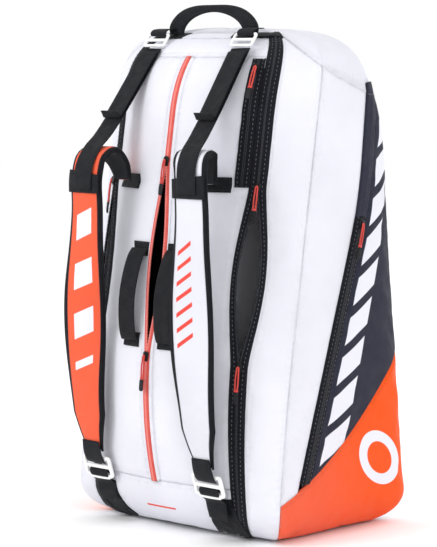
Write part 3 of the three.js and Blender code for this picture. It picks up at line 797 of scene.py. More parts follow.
def sweep(name, centre, across, section, half_width, half_depth, materials, kinds=None,
          closed=False, normal=None):
    """A section of (x, y) points from -1 to 1, swept along a line as one closed mesh."""
    rings, sides = len(centre), len(section)
    along = tangents(centre, closed)
    wide = square_to(along, across)
    thick = np.cross(along, wide) if normal is None else normal
    half_width = np.broadcast_to(half_width, rings)[:, None, None]
    half_depth = np.broadcast_to(half_depth, rings)[:, None, None]
    x, y = section[None, :, :1], section[None, :, 1:]
    points = centre[:, None] + wide[:, None] * x * half_width + thick[:, None] * y * half_depth
    length = distances(centre, 0)
    uv = np.stack(np.broadcast_arrays((x * half_width)[..., 0], length[:, None]), -1)
    border = np.broadcast_to(np.clip((1 - np.abs(section[:, 0])) * 1.4, 0, 1), (rings, sides))
    number = np.arange(rings * sides).reshape(rings, sides)
    faces, which = [], []
    for i in range(rings if closed else rings - 1):
        n = (i + 1) % rings
        for k in range(sides):
            m = (k + 1) % sides
            faces.append((number[i, k], number[i, m], number[n, m], number[n, k]))
            which.append(0 if kinds is None else kinds[k])
    if not closed:
        faces += [tuple(number[0, ::-1]), tuple(number[-1])]
        which += [0, 0]
    made = new_object(name, points.reshape(-1, 3), faces, materials, which,
                      uv.reshape(-1, 2), border.ravel())
    tidy_mesh(made)
    return made


def rounded(count, corner=0.5):
    """A closed section between an ellipse (1) and a box (0)."""
    angle = np.linspace(0, 2 * math.pi, count, endpoint=False) + math.pi / count
    c, s = np.cos(angle), np.sin(angle)
    return np.stack([np.sign(c) * np.abs(c) ** corner, np.sign(s) * np.abs(s) ** corner], -1)


TAPE_SIDE = (-1, -0.97, -0.85, -0.5, 0, 0.5, 0.85, 0.97, 1)
TAPE_SECTION = np.array([(x, y * (1 - abs(x) ** 14) ** 0.5) for x, y in
                         [(t, 1) for t in TAPE_SIDE] + [(t, -1) for t in TAPE_SIDE[-2:0:-1]]])
ROUND_SECTION = rounded(10, 1.0)


def tape(name, points, width, thickness=1.8, step=4.0):
    """Webbing along points; width is one number or a list that runs along it."""
    centre = spline(points, step)
    run = np.linspace(0, 1, len(centre))
    widths = np.interp(run, np.linspace(0, 1, np.size(width)), np.ravel(width))
    return sweep(name, centre, ACROSS, TAPE_SECTION, widths / 2, thickness / 2, [black_web])


def tube(name, points, radius, material, across=UP):
    return sweep(name, points, across, ROUND_SECTION, radius, radius, [material])


def joined(name, objects):
    """Several meshes as one object, their materials kept."""
    with bpy.context.temp_override(active_object=objects[0], selected_editable_objects=objects):
        bpy.ops.object.join()
    objects[0].name = name
    objects[0].data.name = name
    return objects[0]


# ---------------------------------------------------------------- what is sewn on the bag

WEB_LIFT, WEB_THICKNESS = 0.3, 1.8
WEB_TOP = 2.2  # mm from the skins to the top of webbing sewn on them


def tree_of(objects):
    points, faces = [], []
    for obj in objects:
        start = len(points)
        points += [v.co.copy() for v in obj.data.vertices]
        faces += [[start + n for n in f.vertices] for f in obj.data.polygons]
    return BVHTree.FromPolygons(points, faces)


shell_tree = tree_of(panels)


def face_normals(grid):
    normal = unit(np.cross(np.gradient(grid, axis=0), np.gradient(grid, axis=1)))
    sign = np.sign((normal * (grid - MIDDLE)).sum(-1, keepdims=True))
    return normal * np.where(sign == 0, 1, sign)


def drop(points, normals, lift):
    """Points moved along their normals onto the sewn skins, and lifted off them, in mm."""
    flat, out = points.reshape(-1, 3), []
    for p, n in zip(flat, normals.reshape(-1, 3)):
        hit = shell_tree.ray_cast(Vector((p + n * 15) * MM), Vector(-n), 0.03)[0]
        out.append(np.array(hit) / MM if hit is not None else p)
    return np.array(out).reshape(points.shape) + normals * lift


def sewn(name, x_low, x_high, z_low, z_high, hand, step, lift=WEB_LIFT, thickness=WEB_THICKNESS,
         material=black_web):
    """A sheet sewn flat on the skins; x_high may be a function of z."""
    z = np.linspace(z_low, z_high, max(3, round((z_high - z_low) / step) + 1))[None, :]
    low, high = to_s(x_low), to_s(x_high(z) if callable(x_high) else x_high + 0 * z)
    columns = max(4, round((float(np.max(high)) - low) * HALF_WIDTH / step) + 1)
    u = np.linspace(0, 1, columns)[:, None]
    grid = surface(hand * lerp(low, high, u), z + 0 * u)
    normal = face_normals(grid)
    under = drop(grid, normal, lift)
    return quilt(name, under + normal * thickness, under, [material])


def stitches(points, normals, material, pitch, length, radius, lift=0.15):
    """A run of thread stitches along a line of points that already lie on the cloth."""
    both = resample(np.hstack([points, np.broadcast_to(normals, points.shape)]), pitch)
    normal = unit(both[:, 3:])
    place = both[:, :3] + normal * lift
    along = tangents(place)
    wide = np.cross(normal, along)
    a, b = place - along * length / 2, place + along * length / 2
    rim = [place + way * radius for way in (wide, normal, -wide, -normal)]
    corners = np.stack([a, b, *rim], 1).reshape(-1, 3)
    faces = []
    for base in range(0, 6 * len(place), 6):
        for k in range(4):
            m = (k + 1) % 4
            faces += [(base, base + 2 + m, base + 2 + k), (base + 1, base + 2 + k, base + 2 + m)]
    uv = np.stack([np.zeros(len(corners)), np.tile([0, length, *[length / 2] * 4], len(place))], -1)
    made = new_object("stitches", corners, faces, [material], uv=uv)
    tidy_mesh(made)
    return made


def line_on(s, z, hand=1, lift=0.0):
    """Points and normals of a line on the skins, from s and z along it."""
    points = surface(hand * s, z)
    ahead = surface(hand * (s + 0.004), z) - points
    up = surface(hand * s, z + 1.0) - surface(hand * s, z - 1.0)
    normal = unit(np.cross(ahead, up))
    normal = normal * np.sign((normal * (points - MIDDLE)).sum(-1, keepdims=True))
    return drop(points, normal, lift), normal


def stitched(name, rows, hand, count, pitch, length, radius):
    """Straight rows of stitching, each (x, x, z, z), on webbing that is sewn on the skins."""
    t = np.linspace(0, 1, count)
    made = [stitches(*line_on(to_s(lerp(x_from, x_to, t)), lerp(z_from, z_to, t), hand, WEB_TOP),
                     thread_black, pitch, length, radius) for x_from, x_to, z_from, z_to in rows]
    on_body(joined(name, made), "bag")


def box_rows(left, right, low, high):
    return [(left, right, low, low), (right, right, low, high), (right, left, high, high),
            (left, left, high, low)]

# ---------------------------------------------------------------- zips

COIL_STEP, COIL_PITCH = 0.9, 4.5
COIL_SECTION = rounded(8, 0.9)
COIL_DEPTH = 0.2
ZIP_STITCH = (6.6, 4.0)  # mm from stitch to stitch, and the length of one
POCKET_ZIP = (118, 138, 520, 706)
POCKET_MID = to_s((POCKET_ZIP[0] + POCKET_ZIP[1]) / 2)


def coil(name, path, material, radius=1.6, swing=0.26):
    """One side of a zip's teeth: a cord whose thickness swells and thins along it."""
    path = resample(path, COIL_STEP)
    turn = 2 * np.pi * np.arange(len(path)) / (COIL_PITCH / COIL_STEP)
    swell = radius * (1 + swing * np.sin(turn))
    return sweep(name, path, ACROSS, COIL_SECTION, swell, swell, [material])


def zip_tape(name, s_in, s_out, z, hand, material, columns, depth, thickness, tuck):
    """One tape of a zip, a little crowned, between two lines of s; tuck is how deep it ends."""
    u = np.linspace(0, 1, columns + 1)[:, None]
    grid = surface(hand * lerp(s_in, s_out, u), z)
    crown = depth - 0.5 * np.sin(np.pi * u) + tuck * u**4 + 0 * z
    return quilt(name, sink(grid, crown), sink(grid, crown + thickness), [material])


def zip_parts(node, tapes, coils, seams):
    """A finished zip: its tapes, its teeth and its stitching."""
    on_body(joined(node + "_tapes", tapes), "bag", node=node)
    on_body(joined(node + "_coils", coils), "bag")
    if seams:
        on_body(joined(node + "_stitching", seams), "bag")


def open_zip(node, zip_, low, high, hand, cloth, teeth, piping=0.0):
    """A long zip; piping is the width of the coloured strip at its teeth, or 0 for plain tape."""
    z = np.linspace(low + 1.5, high - 1.5, round((high - low) / 4) + 1)[None, :]
    lip, full = mouth(zip_, z), tape_width(zip_, z)
    tapes, coils, seams = [], [], []
    for side in (-1, 1):
        inner, middle, outer, rim = (to_s(zip_[0] + side * (lip + away))
                                     for away in (-0.4, full / 2, piping, full + 1.6))
        if piping:
            tapes.append(zip_tape("tape", inner, outer, z, hand, cloth, 4, 0.1, 1.6, 0.4))
            tapes.append(zip_tape("tape", outer, rim, z, hand, white, 4, 0.8, 1.4, 2.4))
        else:
            tapes.append(zip_tape("tape", inner, rim, z, hand, cloth, 6, 0.2, 1.6, 3.0))
            line = sink(surface(hand * middle, z)[0], -0.25)
            seams.append(stitches(line, [0, -1.0, 0], thread_grey, *ZIP_STITCH, 0.52, 0.25))
        coils.append(coil("coil", sink(surface(hand * inner, z)[0], COIL_DEPTH), teeth))
    zip_parts(node, tapes, coils, seams)


def side_zip(name, hand):
    """The zip of a side pocket: tape and teeth up to its slider, a cloth cover above it."""
    low = max(float(corner_border(float(pocket_line(112.0, k * SIDE_ZIP_HALF)))) for k in (-1, 1))
    z = np.linspace(low - 4, SIDE_ZIP_TOP + 10, 100)
    tapes, coils, seams = [], [], []
    for k in (-1, 1):
        tapes.append(zip_tape("tape", pocket_line(z, 0.4 * k)[None],
                              pocket_line(z, k * (SIDE_ZIP_HALF + 1.4))[None], z[None], hand,
                              zip_black, 6, 0.2, 1.6, 3.0))
        teeth = sink(surface(hand * pocket_line(z, k * 1.9), z), COIL_DEPTH)
        coils.append(coil("coil", teeth, coil_black, 1.9))
        line = sink(surface(hand * pocket_line(z, k * 7.5), z), -0.35)
        seams.append(stitches(line, [hand, 0, 0], thread_grey, *ZIP_STITCH, 0.46, 0.25))
    zip_parts("side_zip_" + name, tapes, coils, seams)
    z = np.linspace(SIDE_ZIP_TOP + 11, 673, 54)[None]
    u = np.linspace(0, 1, 5)[:, None]
    grid = surface(hand * pocket_line(z, lerp(-SIDE_ZIP_HALF + 0.4, SIDE_ZIP_HALF + 1.0, u)), z)
    edge = 1.2 * np.abs(2 * u - 1) ** 3
    cover = quilt("side_zip_" + name + "_cover", sink(grid, 0.6 + edge), sink(grid, 3.2 + edge),
                  [navy_plain, lining])
    on_body(cover, "bag", 1)


def pocket_zip():
    """The short closed zip beside the right main zip."""
    z = np.linspace(521, 705, 60)
    cloth = sewn("pocket_zip_tape", *POCKET_ZIP, 1, 4.0, 0.5, 1.6, zip_black)
    coils, seams = [], []
    for k in (-1, 1):
        teeth = line_on(POCKET_MID + to_s(1.1 * k) + 0 * z, z, 1, 2.4)[0]
        coils.append(coil("coil", teeth, coil_black, 1.2, 0.2))
        line, normal = line_on(POCKET_MID + to_s(6.4 * k) + 0 * z, z, 1, WEB_TOP)
        seams.append(stitches(line, normal, thread_grey, *ZIP_STITCH, 0.48))
    on_body(cloth, "bag", node="pocket_zip")
    on_body(joined("pocket_zip_coils", coils), "bag")
    on_body(joined("pocket_zip_stitching", seams), "bag")


open_zip("centre_zip", CENTRE_ZIP, LOW_SEAM, YOKE_SEAM, 1, zip_red, coil_red, 4.6)
for name, hand in SIDES:
    open_zip("main_zip_" + name, MAIN_ZIP, 0, TOP_SEAM_FRONT, hand, zip_black, coil_black)
    side_zip(name, hand)
pocket_zip()

# ---------------------------------------------------------------- sliders and pullers

NEXT = 5.0  # mm along a zip to the point that gives its direction
PLATE_SHOULDER, PLATE_TAIL, PLATE_LOW, PLATE_HIGH = (5.5, 3.4, 4.1), (3.5, -7.5), 1.0, 3.1
ARCH = [(0, 5.4, 2.4), (0, 5.2, 4.2), (0, 3.2, 5.3), (0, -1.2, 5.4), (0, -4.2, 4.6), (0, -5.2, 2.4)]
CORD_HALF = [(-1.5, -35, 6.7), (-2.1, -20, 7.0), (-1.6, -5, 6.6), (-1.2, 0.6, 5.9)]


def zip_matrix(spot, following, lift=0.0):
    """Where a slider sits: x across its zip, y along it, z out of the cloth."""
    origin, ahead = surface(*spot), surface(*following)
    along = unit(ahead - origin)
    around = unit(surface(spot[0] + 1e-3, spot[1]) - origin)
    out = unit(np.cross(around, along))
    made = np.eye(4)
    made[:3, :3] = np.column_stack([np.cross(along, out), along, out])
    made[:3, 3] = (origin + out * lift) * MM
    return Matrix(made.tolist())


def slab(name, rim, low, high, material, inset=0.5):
    """A plate between two heights with softened rims."""
    rim = np.asarray(rim, float)
    centre = rim.mean(0)
    small = centre + (rim - centre) * (1 - inset / np.abs(rim - centre).max(0))
    layers = [(small, low), (rim, low + inset), (rim, high - inset), (small, high)]
    points = np.vstack([np.column_stack([p, np.full(len(p), h)]) for p, h in layers])
    n = len(rim)
    faces = [(k + l * n, (k + 1) % n + l * n, (k + 1) % n + (l + 1) * n, k + (l + 1) * n)
             for l in range(3) for k in range(n)]
    faces += [tuple(range(n))[::-1], tuple(range(3 * n, 4 * n))]
    made = new_object(name, points, faces, [material], uv=points[:, :2])
    tidy_mesh(made)
    return made


def slider(name, matrix):
    """A zip slider: a plate with shoulders, an arch over it and two raised ribs."""
    half, start, rise = PLATE_SHOULDER
    plate = [(half * math.cos(t), start + rise * math.sin(t)) for t in np.linspace(0, math.pi, 9)]
    plate += [(-PLATE_TAIL[0], PLATE_TAIL[1]), PLATE_TAIL]
    rib = spline([(-4.2, 3.6, 2.9), (-3.1, -5.8, 2.9)], 1.5)
    made = joined(name + "_slider_body", [
        slab("plate", plate, PLATE_LOW, PLATE_HIGH, metal_black),
        sweep("arch", spline(ARCH, 0.7), ACROSS, rounded(10, 0.6), 1.7, 0.55, [metal_black]),
        tube("rib", rib, 0.5, metal_black),
        tube("rib", rib * [-1, 1, 1], 0.5, metal_black)])
    made.data.transform(matrix)
    on_body(made, name + "_slider", node=name + "_slider")


def puller(name, matrix):
    """A puller: a red cord loop, its knot and a moulded tab."""
    mirrored = [(-x, y, z) for x, y, z in CORD_HALF[::-1]]
    loop = spline([*CORD_HALF, (0, 2.0, 5.7), *mirrored], 0.8)
    knot = np.array([(0, y, 6.75) for y in np.linspace(-30.6, -34.4, 7)])
    bulge = 3.2 + 0.5 * np.sin(np.linspace(0.3, 2.8, 7))
    run = np.linspace(0, 1, 15)
    tab = np.stack([0 * run, lerp(-33.6, -52, run), 6.7 + 0.5 * np.sin(np.pi * run)], -1)
    width = np.interp(run, [0, 0.06, 0.2, 0.85, 0.95, 1], [1.8, 3.0, 3.9, 4.0, 3.3, 1.9])
    depth = np.interp(run, [0, 0.1, 0.3, 0.9, 1], [1.5, 1.7, 1.25, 1.3, 0.7])
    depth = depth + 0.16 * np.sin(run * 60) * ((run > 0.3) & (run < 0.85))
    made = joined(name + "_puller_cord_and_tab", [
        tube("cord", loop, 1.25, red_cord),
        sweep("knot", knot, ACROSS, rounded(12, 0.8), bulge, 1.8, [red_cord]),
        sweep("tab", tab, ACROSS, rounded(14, 0.55), width, depth, [tab_black])])
    made.data.transform(matrix)
    on_body(made, name + "_puller", 1, name + "_puller")


def slider_places():
    """For each slider: its name, its spot, the next spot along its zip and its lift."""
    places = []
    for word, index in (("upper", 2), ("lower", 1)):
        z = CENTRE_ZIP[index]
        places.append(("centre_" + word, (0, z), (0, z + NEXT), 0))
        z = MAIN_ZIP[index]
        for name, hand in SIDES:
            s = hand * to_s(MAIN_X)
            places.append((f"main_{name}_{word}", (s, z), (s, z + NEXT), 0))
    for name, hand in SIDES:
        ends = [(hand * float(pocket_line(z)), z) for z in (SIDE_ZIP_TOP, SIDE_ZIP_TOP + NEXT)]
        places.append(("side_" + name, *ends, 0))
    return [*places, ("pocket", (POCKET_MID, 690), (POCKET_MID, 690 + NEXT), 3.5)]


for name, *place in slider_places():
    matrix = zip_matrix(*place)
    slider(name, matrix)
    puller(name, matrix)

# ---------------------------------------------------------------- shoulder straps

PAD_LINE = [(90, -135, 524), (91, -146, 552), (97, -166, 570), (104, -185, 562), (109, -192, 532),
            (110, -191, 480), (111, -193, 420), (112, -195, 355), (113, -193, 280),
            (115, -188, 210), (116, -179, 145), (117, -170, 114)]
LIFTER_LINE = [(92, -70, 721), (94, -98, 682), (97, -132, 636), (100, -167, 593),
               (103, -186, 574), (106, -197, 555), (108.5, -201.5, 533), (109.5, -202, 512)]
TAIL_LINE = [(92.2, -78, 716.6), (94, -102, 684), (96, -127, 650), (98, -150, 619)]
TAIL_FOLD = [(98, -151.4, 618.2), (98, -153.4, 622), (98, -157.0, 628)]
SEAM_AT, EDGE_AT = 0.83, 0.84  # share of a pad's half width: its sewn groove and its edge band
GROOVE_DEPTH, GROOVE_WIDTH = 0.14, 0.035
HALF_ROW = [-1, -0.99, -0.96, -0.91, -0.87, -0.83, -0.79, -0.64, -0.44, -0.2, 0.0]
PAD_ROW = HALF_ROW + [-x for x in HALF_ROW[-2::-1]]


def pad_height(x):
    """The top of a pad across it: domed, with a sewn groove near each edge."""
    groove = GROOVE_DEPTH * math.exp(-(((abs(x) - SEAM_AT) / GROOVE_WIDTH) ** 2))
    return (1 - abs(x) ** 16) ** 0.5 * (0.8 + 0.2 * (1 - x * x)) - groove * (abs(x) < 0.95)


PAD_SECTION = np.array([(x, pad_height(x)) for x in PAD_ROW]
                       + [(x, -0.92 * (1 - abs(x) ** 16) ** 0.5) for x in PAD_ROW[-2:0:-1]])
# 0 is the outer cover, 1 the black edge band and 2 the spacer mesh underneath.
PAD_KINDS = [1 if abs(a + b) / 2 > EDGE_AT else 0 for a, b in zip(PAD_ROW, PAD_ROW[1:])]
PAD_KINDS += [2 if abs(x) < 0.86 else 1 for x in PAD_ROW[-1:0:-1]]


def frame_along(centre):
    """The directions across a pad and out of it; the pad turns a little near its middle."""
    along = tangents(centre)
    wide = square_to(along, ACROSS)
    angle = -math.pi / 6 * np.exp(-(((centre[:, 2] - 320) / 90) ** 2))
    cos, sin = np.cos(angle)[:, None], np.sin(angle)[:, None]
    wide = wide * cos + np.cross(along, wide) * sin
    return wide, np.cross(along, wide)


def pad_cover(name, hand):
    """The cover of a shoulder pad, with its line, its directions and its half sizes."""
    centre = spline(np.array(PAD_LINE) * [hand, 1, 1], 6.0)
    wide, out = frame_along(centre)
    run = np.linspace(0, 1, len(centre))
    ends = np.clip(np.minimum(run, 1 - run) * 9, 0, 1)
    half, thick = lerp(30, 62, ends) / 2, lerp(4, 12.4, ends**0.7) / 2
    cover = pad_orange if name == "left" else pad_white
    pad = sweep("shoulder_pad_" + name + "_cover", centre, wide, PAD_SECTION, half, thick,
                [cover, piping_black, pad_mesh], PAD_KINDS, normal=out)
    rings, sides = len(centre), len(PAD_SECTION)
    pinned = [i * sides + k for i in range(rings) for k in range(sides)
              if abs(PAD_SECTION[k, 0]) > 0.7 or i < 3 or i > rings - 4]
    pad.vertex_groups.new(name="held").add(pinned, 1.0, "REPLACE")
    return pad, centre, wide, out, half, thick


def finish_pad(name, pad, centre, wide, out, half, thick):
    """The pad, its piping, its stitching and the woven patch on it."""
    strap, node = "shoulder_strap_" + name, "shoulder_pad_" + name
    bend = ("bag", strap, (0, -0.132, 0), (0, -0.165, 0))
    slot = "orange_fabric" if name == "left" else "white_fabric"
    across_joint(pad, *bend, slot, 1, node)
    edges = [tube("piping", centre + wide * (half * k)[:, None], 1.9, piping_black, (0, 1, 0))
             for k in (-1, 1)]
    across_joint(joined(node + "_piping", edges), *bend)
    keep = slice(6, len(centre) - 6)
    rows = []
    for k in (-SEAM_AT, SEAM_AT):
        line = centre + wide * (half * k)[:, None] + out * (thick * 0.84)[:, None]
        rows.append(stitches(line[keep], out[keep], thread_grey, 4.0, 2.6, 0.34, 0.35))
    across_joint(joined(node + "_stitching", rows), *bend)
    near = [i for i in range(len(centre)) if 506 < centre[i, 2] < 541 and centre[i, 1] < -186]
    grid = np.stack([centre[near] + wide[near] * (half[near] * x * 1.02)[:, None]
                     + out[near] * (thick[near] * pad_height(x * 0.93) + 1.3)[:, None]
                     for x in np.linspace(-1, 1, 13)], 0)
    patch = quilt("strap_patch_" + name, grid + out[near] * 1.4, grid, [black_web])
    on_body(patch, strap, levels=1)


def lifters(name, hand):
    """The webbing from a top buckle to the pad, and its loose tail with a folded hem."""
    mirrored = np.array([hand, 1, 1])
    lifter = tape("load_lifter_" + name + "_webbing", np.array(LIFTER_LINE) * mirrored, 38)
    across_joint(lifter, "bag", "shoulder_strap_" + name, (hand * 0.095, -0.110, 0.670),
                 (hand * 0.106, -0.196, 0.560), node="load_lifter_" + name)
    tail = joined("lifter_tail_" + name + "_webbing", [
        tape("tail", np.array(TAIL_LINE) * mirrored, 36),
        tape("hem", np.array(TAIL_FOLD) * mirrored, 36, 2.2, 2.0)])
    on_body(tail, "lifter_tail_" + name, node="lifter_tail_" + name)


pads = {name: pad_cover(name, hand) for name, hand in SIDES}
simulate([entry[0] for entry in pads.values()], cap=0.0018, slack=0.004, frames=12)
for name, hand in SIDES:
    finish_pad(name, *pads[name])
    lifters(name, hand)

# ---------------------------------------------------------------- anchors, wings, binding

LOWER_LINE = [(117, -158.5, 70), (117, -163.5, 78), (117, -162.5, 84), (117, -158.5, 79)]
END_LINE = [(117, -166.5, 94), (117, -171.5, 99), (117, -175.5, 108), (116.7, -178.5, 119),
            (116.5, -180.5, 129)]


def anchor(name, hand):
    """The patch where a shoulder strap is sewn on, with a crossed box of stitching."""
    node = "strap_anchor_" + name
    on_body(sewn(node + "_patch", 60, 114, 512, 534, hand, 6.0), "bag", levels=1, node=node)
    rows = [*box_rows(63, 111, 515, 531), (63, 87, 515, 531), (87, 111, 531, 515)]
    stitched(node + "_stitching", rows, hand, 12, 3.0, 2.2, 0.36)


def lower_webbing(name, hand):
    """The wing at the foot of the strap face, its stitching, its strap and the pad's end."""
    node, strap = "lower_webbing_" + name, "shoulder_strap_" + name
    wing = sewn(node + "_wing", 96, lambda z: lerp(162, 138, (z - 8) / 58), 8, 66, hand, 5.0)
    on_body(wing, "bag", levels=1, node=node)
    rows = [(99, 135, 63, 63), (99, 99, 63, 11), (135, 158, 63, 11)]
    stitched(node + "_stitching", rows, hand, 14, 3.4, 2.4, 0.36)
    rise = surface(to_s(117), np.array([34.0, 48.0, 60.0])) + [0, -4.5, 0]
    mirrored = [hand, 1, 1]
    lower = tape(node + "_strap", np.vstack([rise, LOWER_LINE]) * mirrored, 40, step=3.0)
    across_joint(lower, "bag", strap, (0, 0, 0.058), (0, 0, 0.076))
    end = tape("shoulder_pad_" + name + "_end_webbing", np.array(END_LINE) * mirrored, [40, 40, 37],
               step=3.0)
    across_joint(end, strap, "lower_buckle_" + name, (hand * 0.117, -0.176, 0.111),
                 (hand * 0.117, -0.1675, 0.098))


def binding():
    """The strip over the top seam: black, white between the handle's ends, black."""
    parts = [sewn("strip", low, high, 737.5, 745.5, 1, 4.0, 0.2, thickness, material)
             for low, high, thickness, material in (
                 (-163, -62, 2.0, black_web), (-61.8, 61.8, 1.2, white), (62, 163, 2.0, black_web))]
    on_body(joined("top_binding_tape", parts), "bag", levels=1, node="top_binding")


for name, hand in SIDES:
    anchor(name, hand)
    lower_webbing(name, hand)
binding()

# ---------------------------------------------------------------- buckles

BUCKLE_CORNER = 3.0
LOOP_LINE = [(91, -36, 750.5), (91, -46, 750.5), (91, -55, 748.8), (91, -59.8, 744),
             (91, -58, 740.5), (91, -54, 741)]


def frame_loop(x, y):
    """The middle line of a frame with rounded corners."""
    loop = []
    for k, (side, end) in enumerate(((1, 1), (-1, 1), (-1, -1), (1, -1))):
        centre_x, centre_y = side * (x - BUCKLE_CORNER), end * (y - BUCKLE_CORNER)
        for t in np.linspace(0, math.pi / 2, 5) + k * math.pi / 2:
            loop.append((centre_x + BUCKLE_CORNER * math.cos(t), centre_y + BUCKLE_CORNER * math.sin(t), 0))
    return np.array(loop)


def buckle(name, width, height, depth, bar, place, lean):
    """A ladder-lock buckle: a rounded frame, a toothed middle bar and a lifted lip."""
    x, y = width / 2 - bar / 2, height / 2 - bar / 2
    bar_line = np.stack([np.linspace(-x, x, 25), np.zeros(25), np.zeros(25)], -1)
    teeth = bar / 2 * (1 + 0.12 * np.cos(np.arange(25) * math.pi))
    lip = np.stack([np.linspace(-x * 0.82, x * 0.82, 21), np.full(21, -y - bar * 0.45),
                    depth * (0.3 + 0.25 * np.sin(np.linspace(0, math.pi, 21)))], -1)
    pieces = [
        sweep(name, line, UP, rounded(12, corner), half_width, half_depth, [plastic_white],
              closed=closed)
        for line, corner, half_width, half_depth, closed in (
            (frame_loop(x, y), 0.6, depth / 2, bar / 2, True),
            (bar_line, 0.6, depth / 2, teeth, False),
            (lip, 0.7, depth * 0.32, bar * 0.3, False))]
    made = joined(name + "_plastic", pieces)
    matrix = Matrix.Translation(Vector(place) * MM)
    made.data.transform(matrix @ Matrix.Rotation(math.pi / 2 - lean, 4, "X"))
    on_body(made, name, 1, name)


for name, hand in SIDES:
    buckle("top_buckle_" + name, 46, 25, 4, 4.4, (hand * 91, -63, 734), 0.62)
    buckle("lower_buckle_" + name, 60, 36, 5, 6, (hand * 117, -164, 88), -0.32)
    on_body(tape("top_buckle_" + name + "_loop", np.array(LOOP_LINE) * [hand, 1, 1], 34, 1.7, 2.0),
            "bag")

# ---------------------------------------------------------------- handles

TOP_BEND = ("bag", "top_handle", (0, -0.033, 0.7515), (0, -0.033, 0.768))
HANDLE_X, HANDLE_LOW, HANDLE_HIGH = 37, 290, 425


def bezier(a, b, c, d, t):
    t = t[:, None]
    a, b, c, d = (np.asarray(p, float) for p in (a, b, c, d))
    return a * (1 - t) ** 3 + 3 * b * t * (1 - t) ** 2 + 3 * c * t * t * (1 - t) + d * t**3


def arch(foot, curve):
    """One edge of the top handle as (x, z): its foot, its rise and the same mirrored."""
    half = np.vstack([foot, bezier(*curve, np.linspace(0, 1, 26))])
    return np.vstack([half, half[-2::-1] * [-1, 1]])


def top_handle():
    """The grab handle: padded webbing that arches over the top, with two rows of stitching."""
    over = arch([[-92, -10], [-93, -5]], ((-93, 0), (-77, 25.9), (-44, 36), (0, 36)))
    under = arch([[-66, -10], [-63, -5]], ((-61, 0), (-56, 18), (-30, 25), (0, 25)))
    middle, span = (over + under) / 2, over - under
    centre = np.column_stack([middle[:, 0], np.full(len(middle), -33.0), middle[:, 1] + 750.5])
    half = np.linalg.norm(span, axis=1) / 2
    across = np.column_stack([span[:, 0], np.zeros(len(span)), span[:, 1]])
    grip = sweep("top_handle_webbing", centre, across, rounded(22, 0.5), half, 2.9, [black_web])
    across_joint(grip, *TOP_BEND, levels=1, node="top_handle")
    rows = [stitches(centre + unit(across) * (half * k)[:, None] + [0, -2.75, 0], [0, -1.0, 0],
                     thread_black, 3.4, 2.4, 0.34) for k in (-0.72, 0.72)]
    across_joint(joined("top_handle_stitching", rows), *TOP_BEND)


def carry_handle(name, hand):
    """A webbing handle beside the centre zip, with a sewn foot at each end."""
    body = "carry_handle_" + name
    stations = np.array([0, 0.07, 0.25, 0.5, 0.75, 0.93, 1])
    z = lerp(HANDLE_LOW, HANDLE_HIGH, stations)
    stand = lerp(5.5, 20, np.sin(np.pi * np.clip(stations, 1e-9, 1 - 1e-9)) ** 0.6)
    skin, _ = line_on(to_s(HANDLE_X) + 0 * z, z, hand)
    points = np.column_stack([np.full(7, HANDLE_X * float(hand)), skin[:, 1] - stand, z])
    webbing = joined(body + "_webbing", [tape("outer", points, 34, 1.9, 3.0),
                                         tape("inner", points[1:-1] + [0, 2.3, 0], 27, 1.9, 3.0)])
    start = float(points[0, 1]) * MM
    across_joint(webbing, "bag", body, (0, start + 0.001, 0), (0, start - 0.012, 0), node=body)
    feet, rows = [], []
    for z_foot in (HANDLE_LOW - 10, HANDLE_HIGH - 11):
        feet.append(sewn("foot", 20, 54, z_foot, z_foot + 21, hand, 4.0))
        low, high = z_foot + 2, z_foot + 19
        rows += [*box_rows(22, 52, low, high), (22, 52, low, high), (22, 52, high, low)]
    on_body(joined(body + "_feet", feet), "bag", levels=1)
    stitched(body + "_stitching", rows, hand, 10, 3.0, 2.1, 0.34)


top_handle()
for name, hand in SIDES:
    carry_handle(name, hand)

# ---------------------------------------------------------------- dividers

DIVIDER_X, DIVIDER_GAP, QUILT_PITCH = 75, 8.4, 46


def divider(name, hand):
    """A padded wall between two compartments, quilted in diamonds."""
    z = np.linspace(6, 698, 88)[None, :]
    face = sink(surface(DIVIDER_X / outline(z)[0], z), DIVIDER_GAP)
    rear = sink(surface(3.0, z), DIVIDER_GAP)
    u = np.linspace(0, 1, 42)[:, None]
    y, height = lerp(face[..., 1], rear[..., 1], u), lerp(face[..., 2], rear[..., 2], u)
    plump = np.abs(np.sin((y + height) * math.pi / QUILT_PITCH)
                   * np.sin((y - height) * math.pi / QUILT_PITCH)) ** 0.5
    rim = np.minimum(np.minimum(u, 1 - u) * 14, 1) * np.minimum(np.arange(88) / 3, 1) ** 0.5
    bulge = (0.7 + 1.3 * plump) * np.clip(rim, 0.3, 1)
    layers = [np.stack([hand * DIVIDER_X + way * bulge, y, height], -1) for way in (hand, -hand)]
    made = quilt("divider_" + name + "_quilted", *layers, [silver_lining, lining])
    on_body(made, "bag", node="divider_" + name)


for name, hand in SIDES:
    divider(name, hand)

# ---------------------------------------------------------------- topstitching on the panels

BESIDE = 3.5  # mm from a seam to its row of stitching
TOPSTITCH = (3.6, 2.4, 0.3, 0.1)


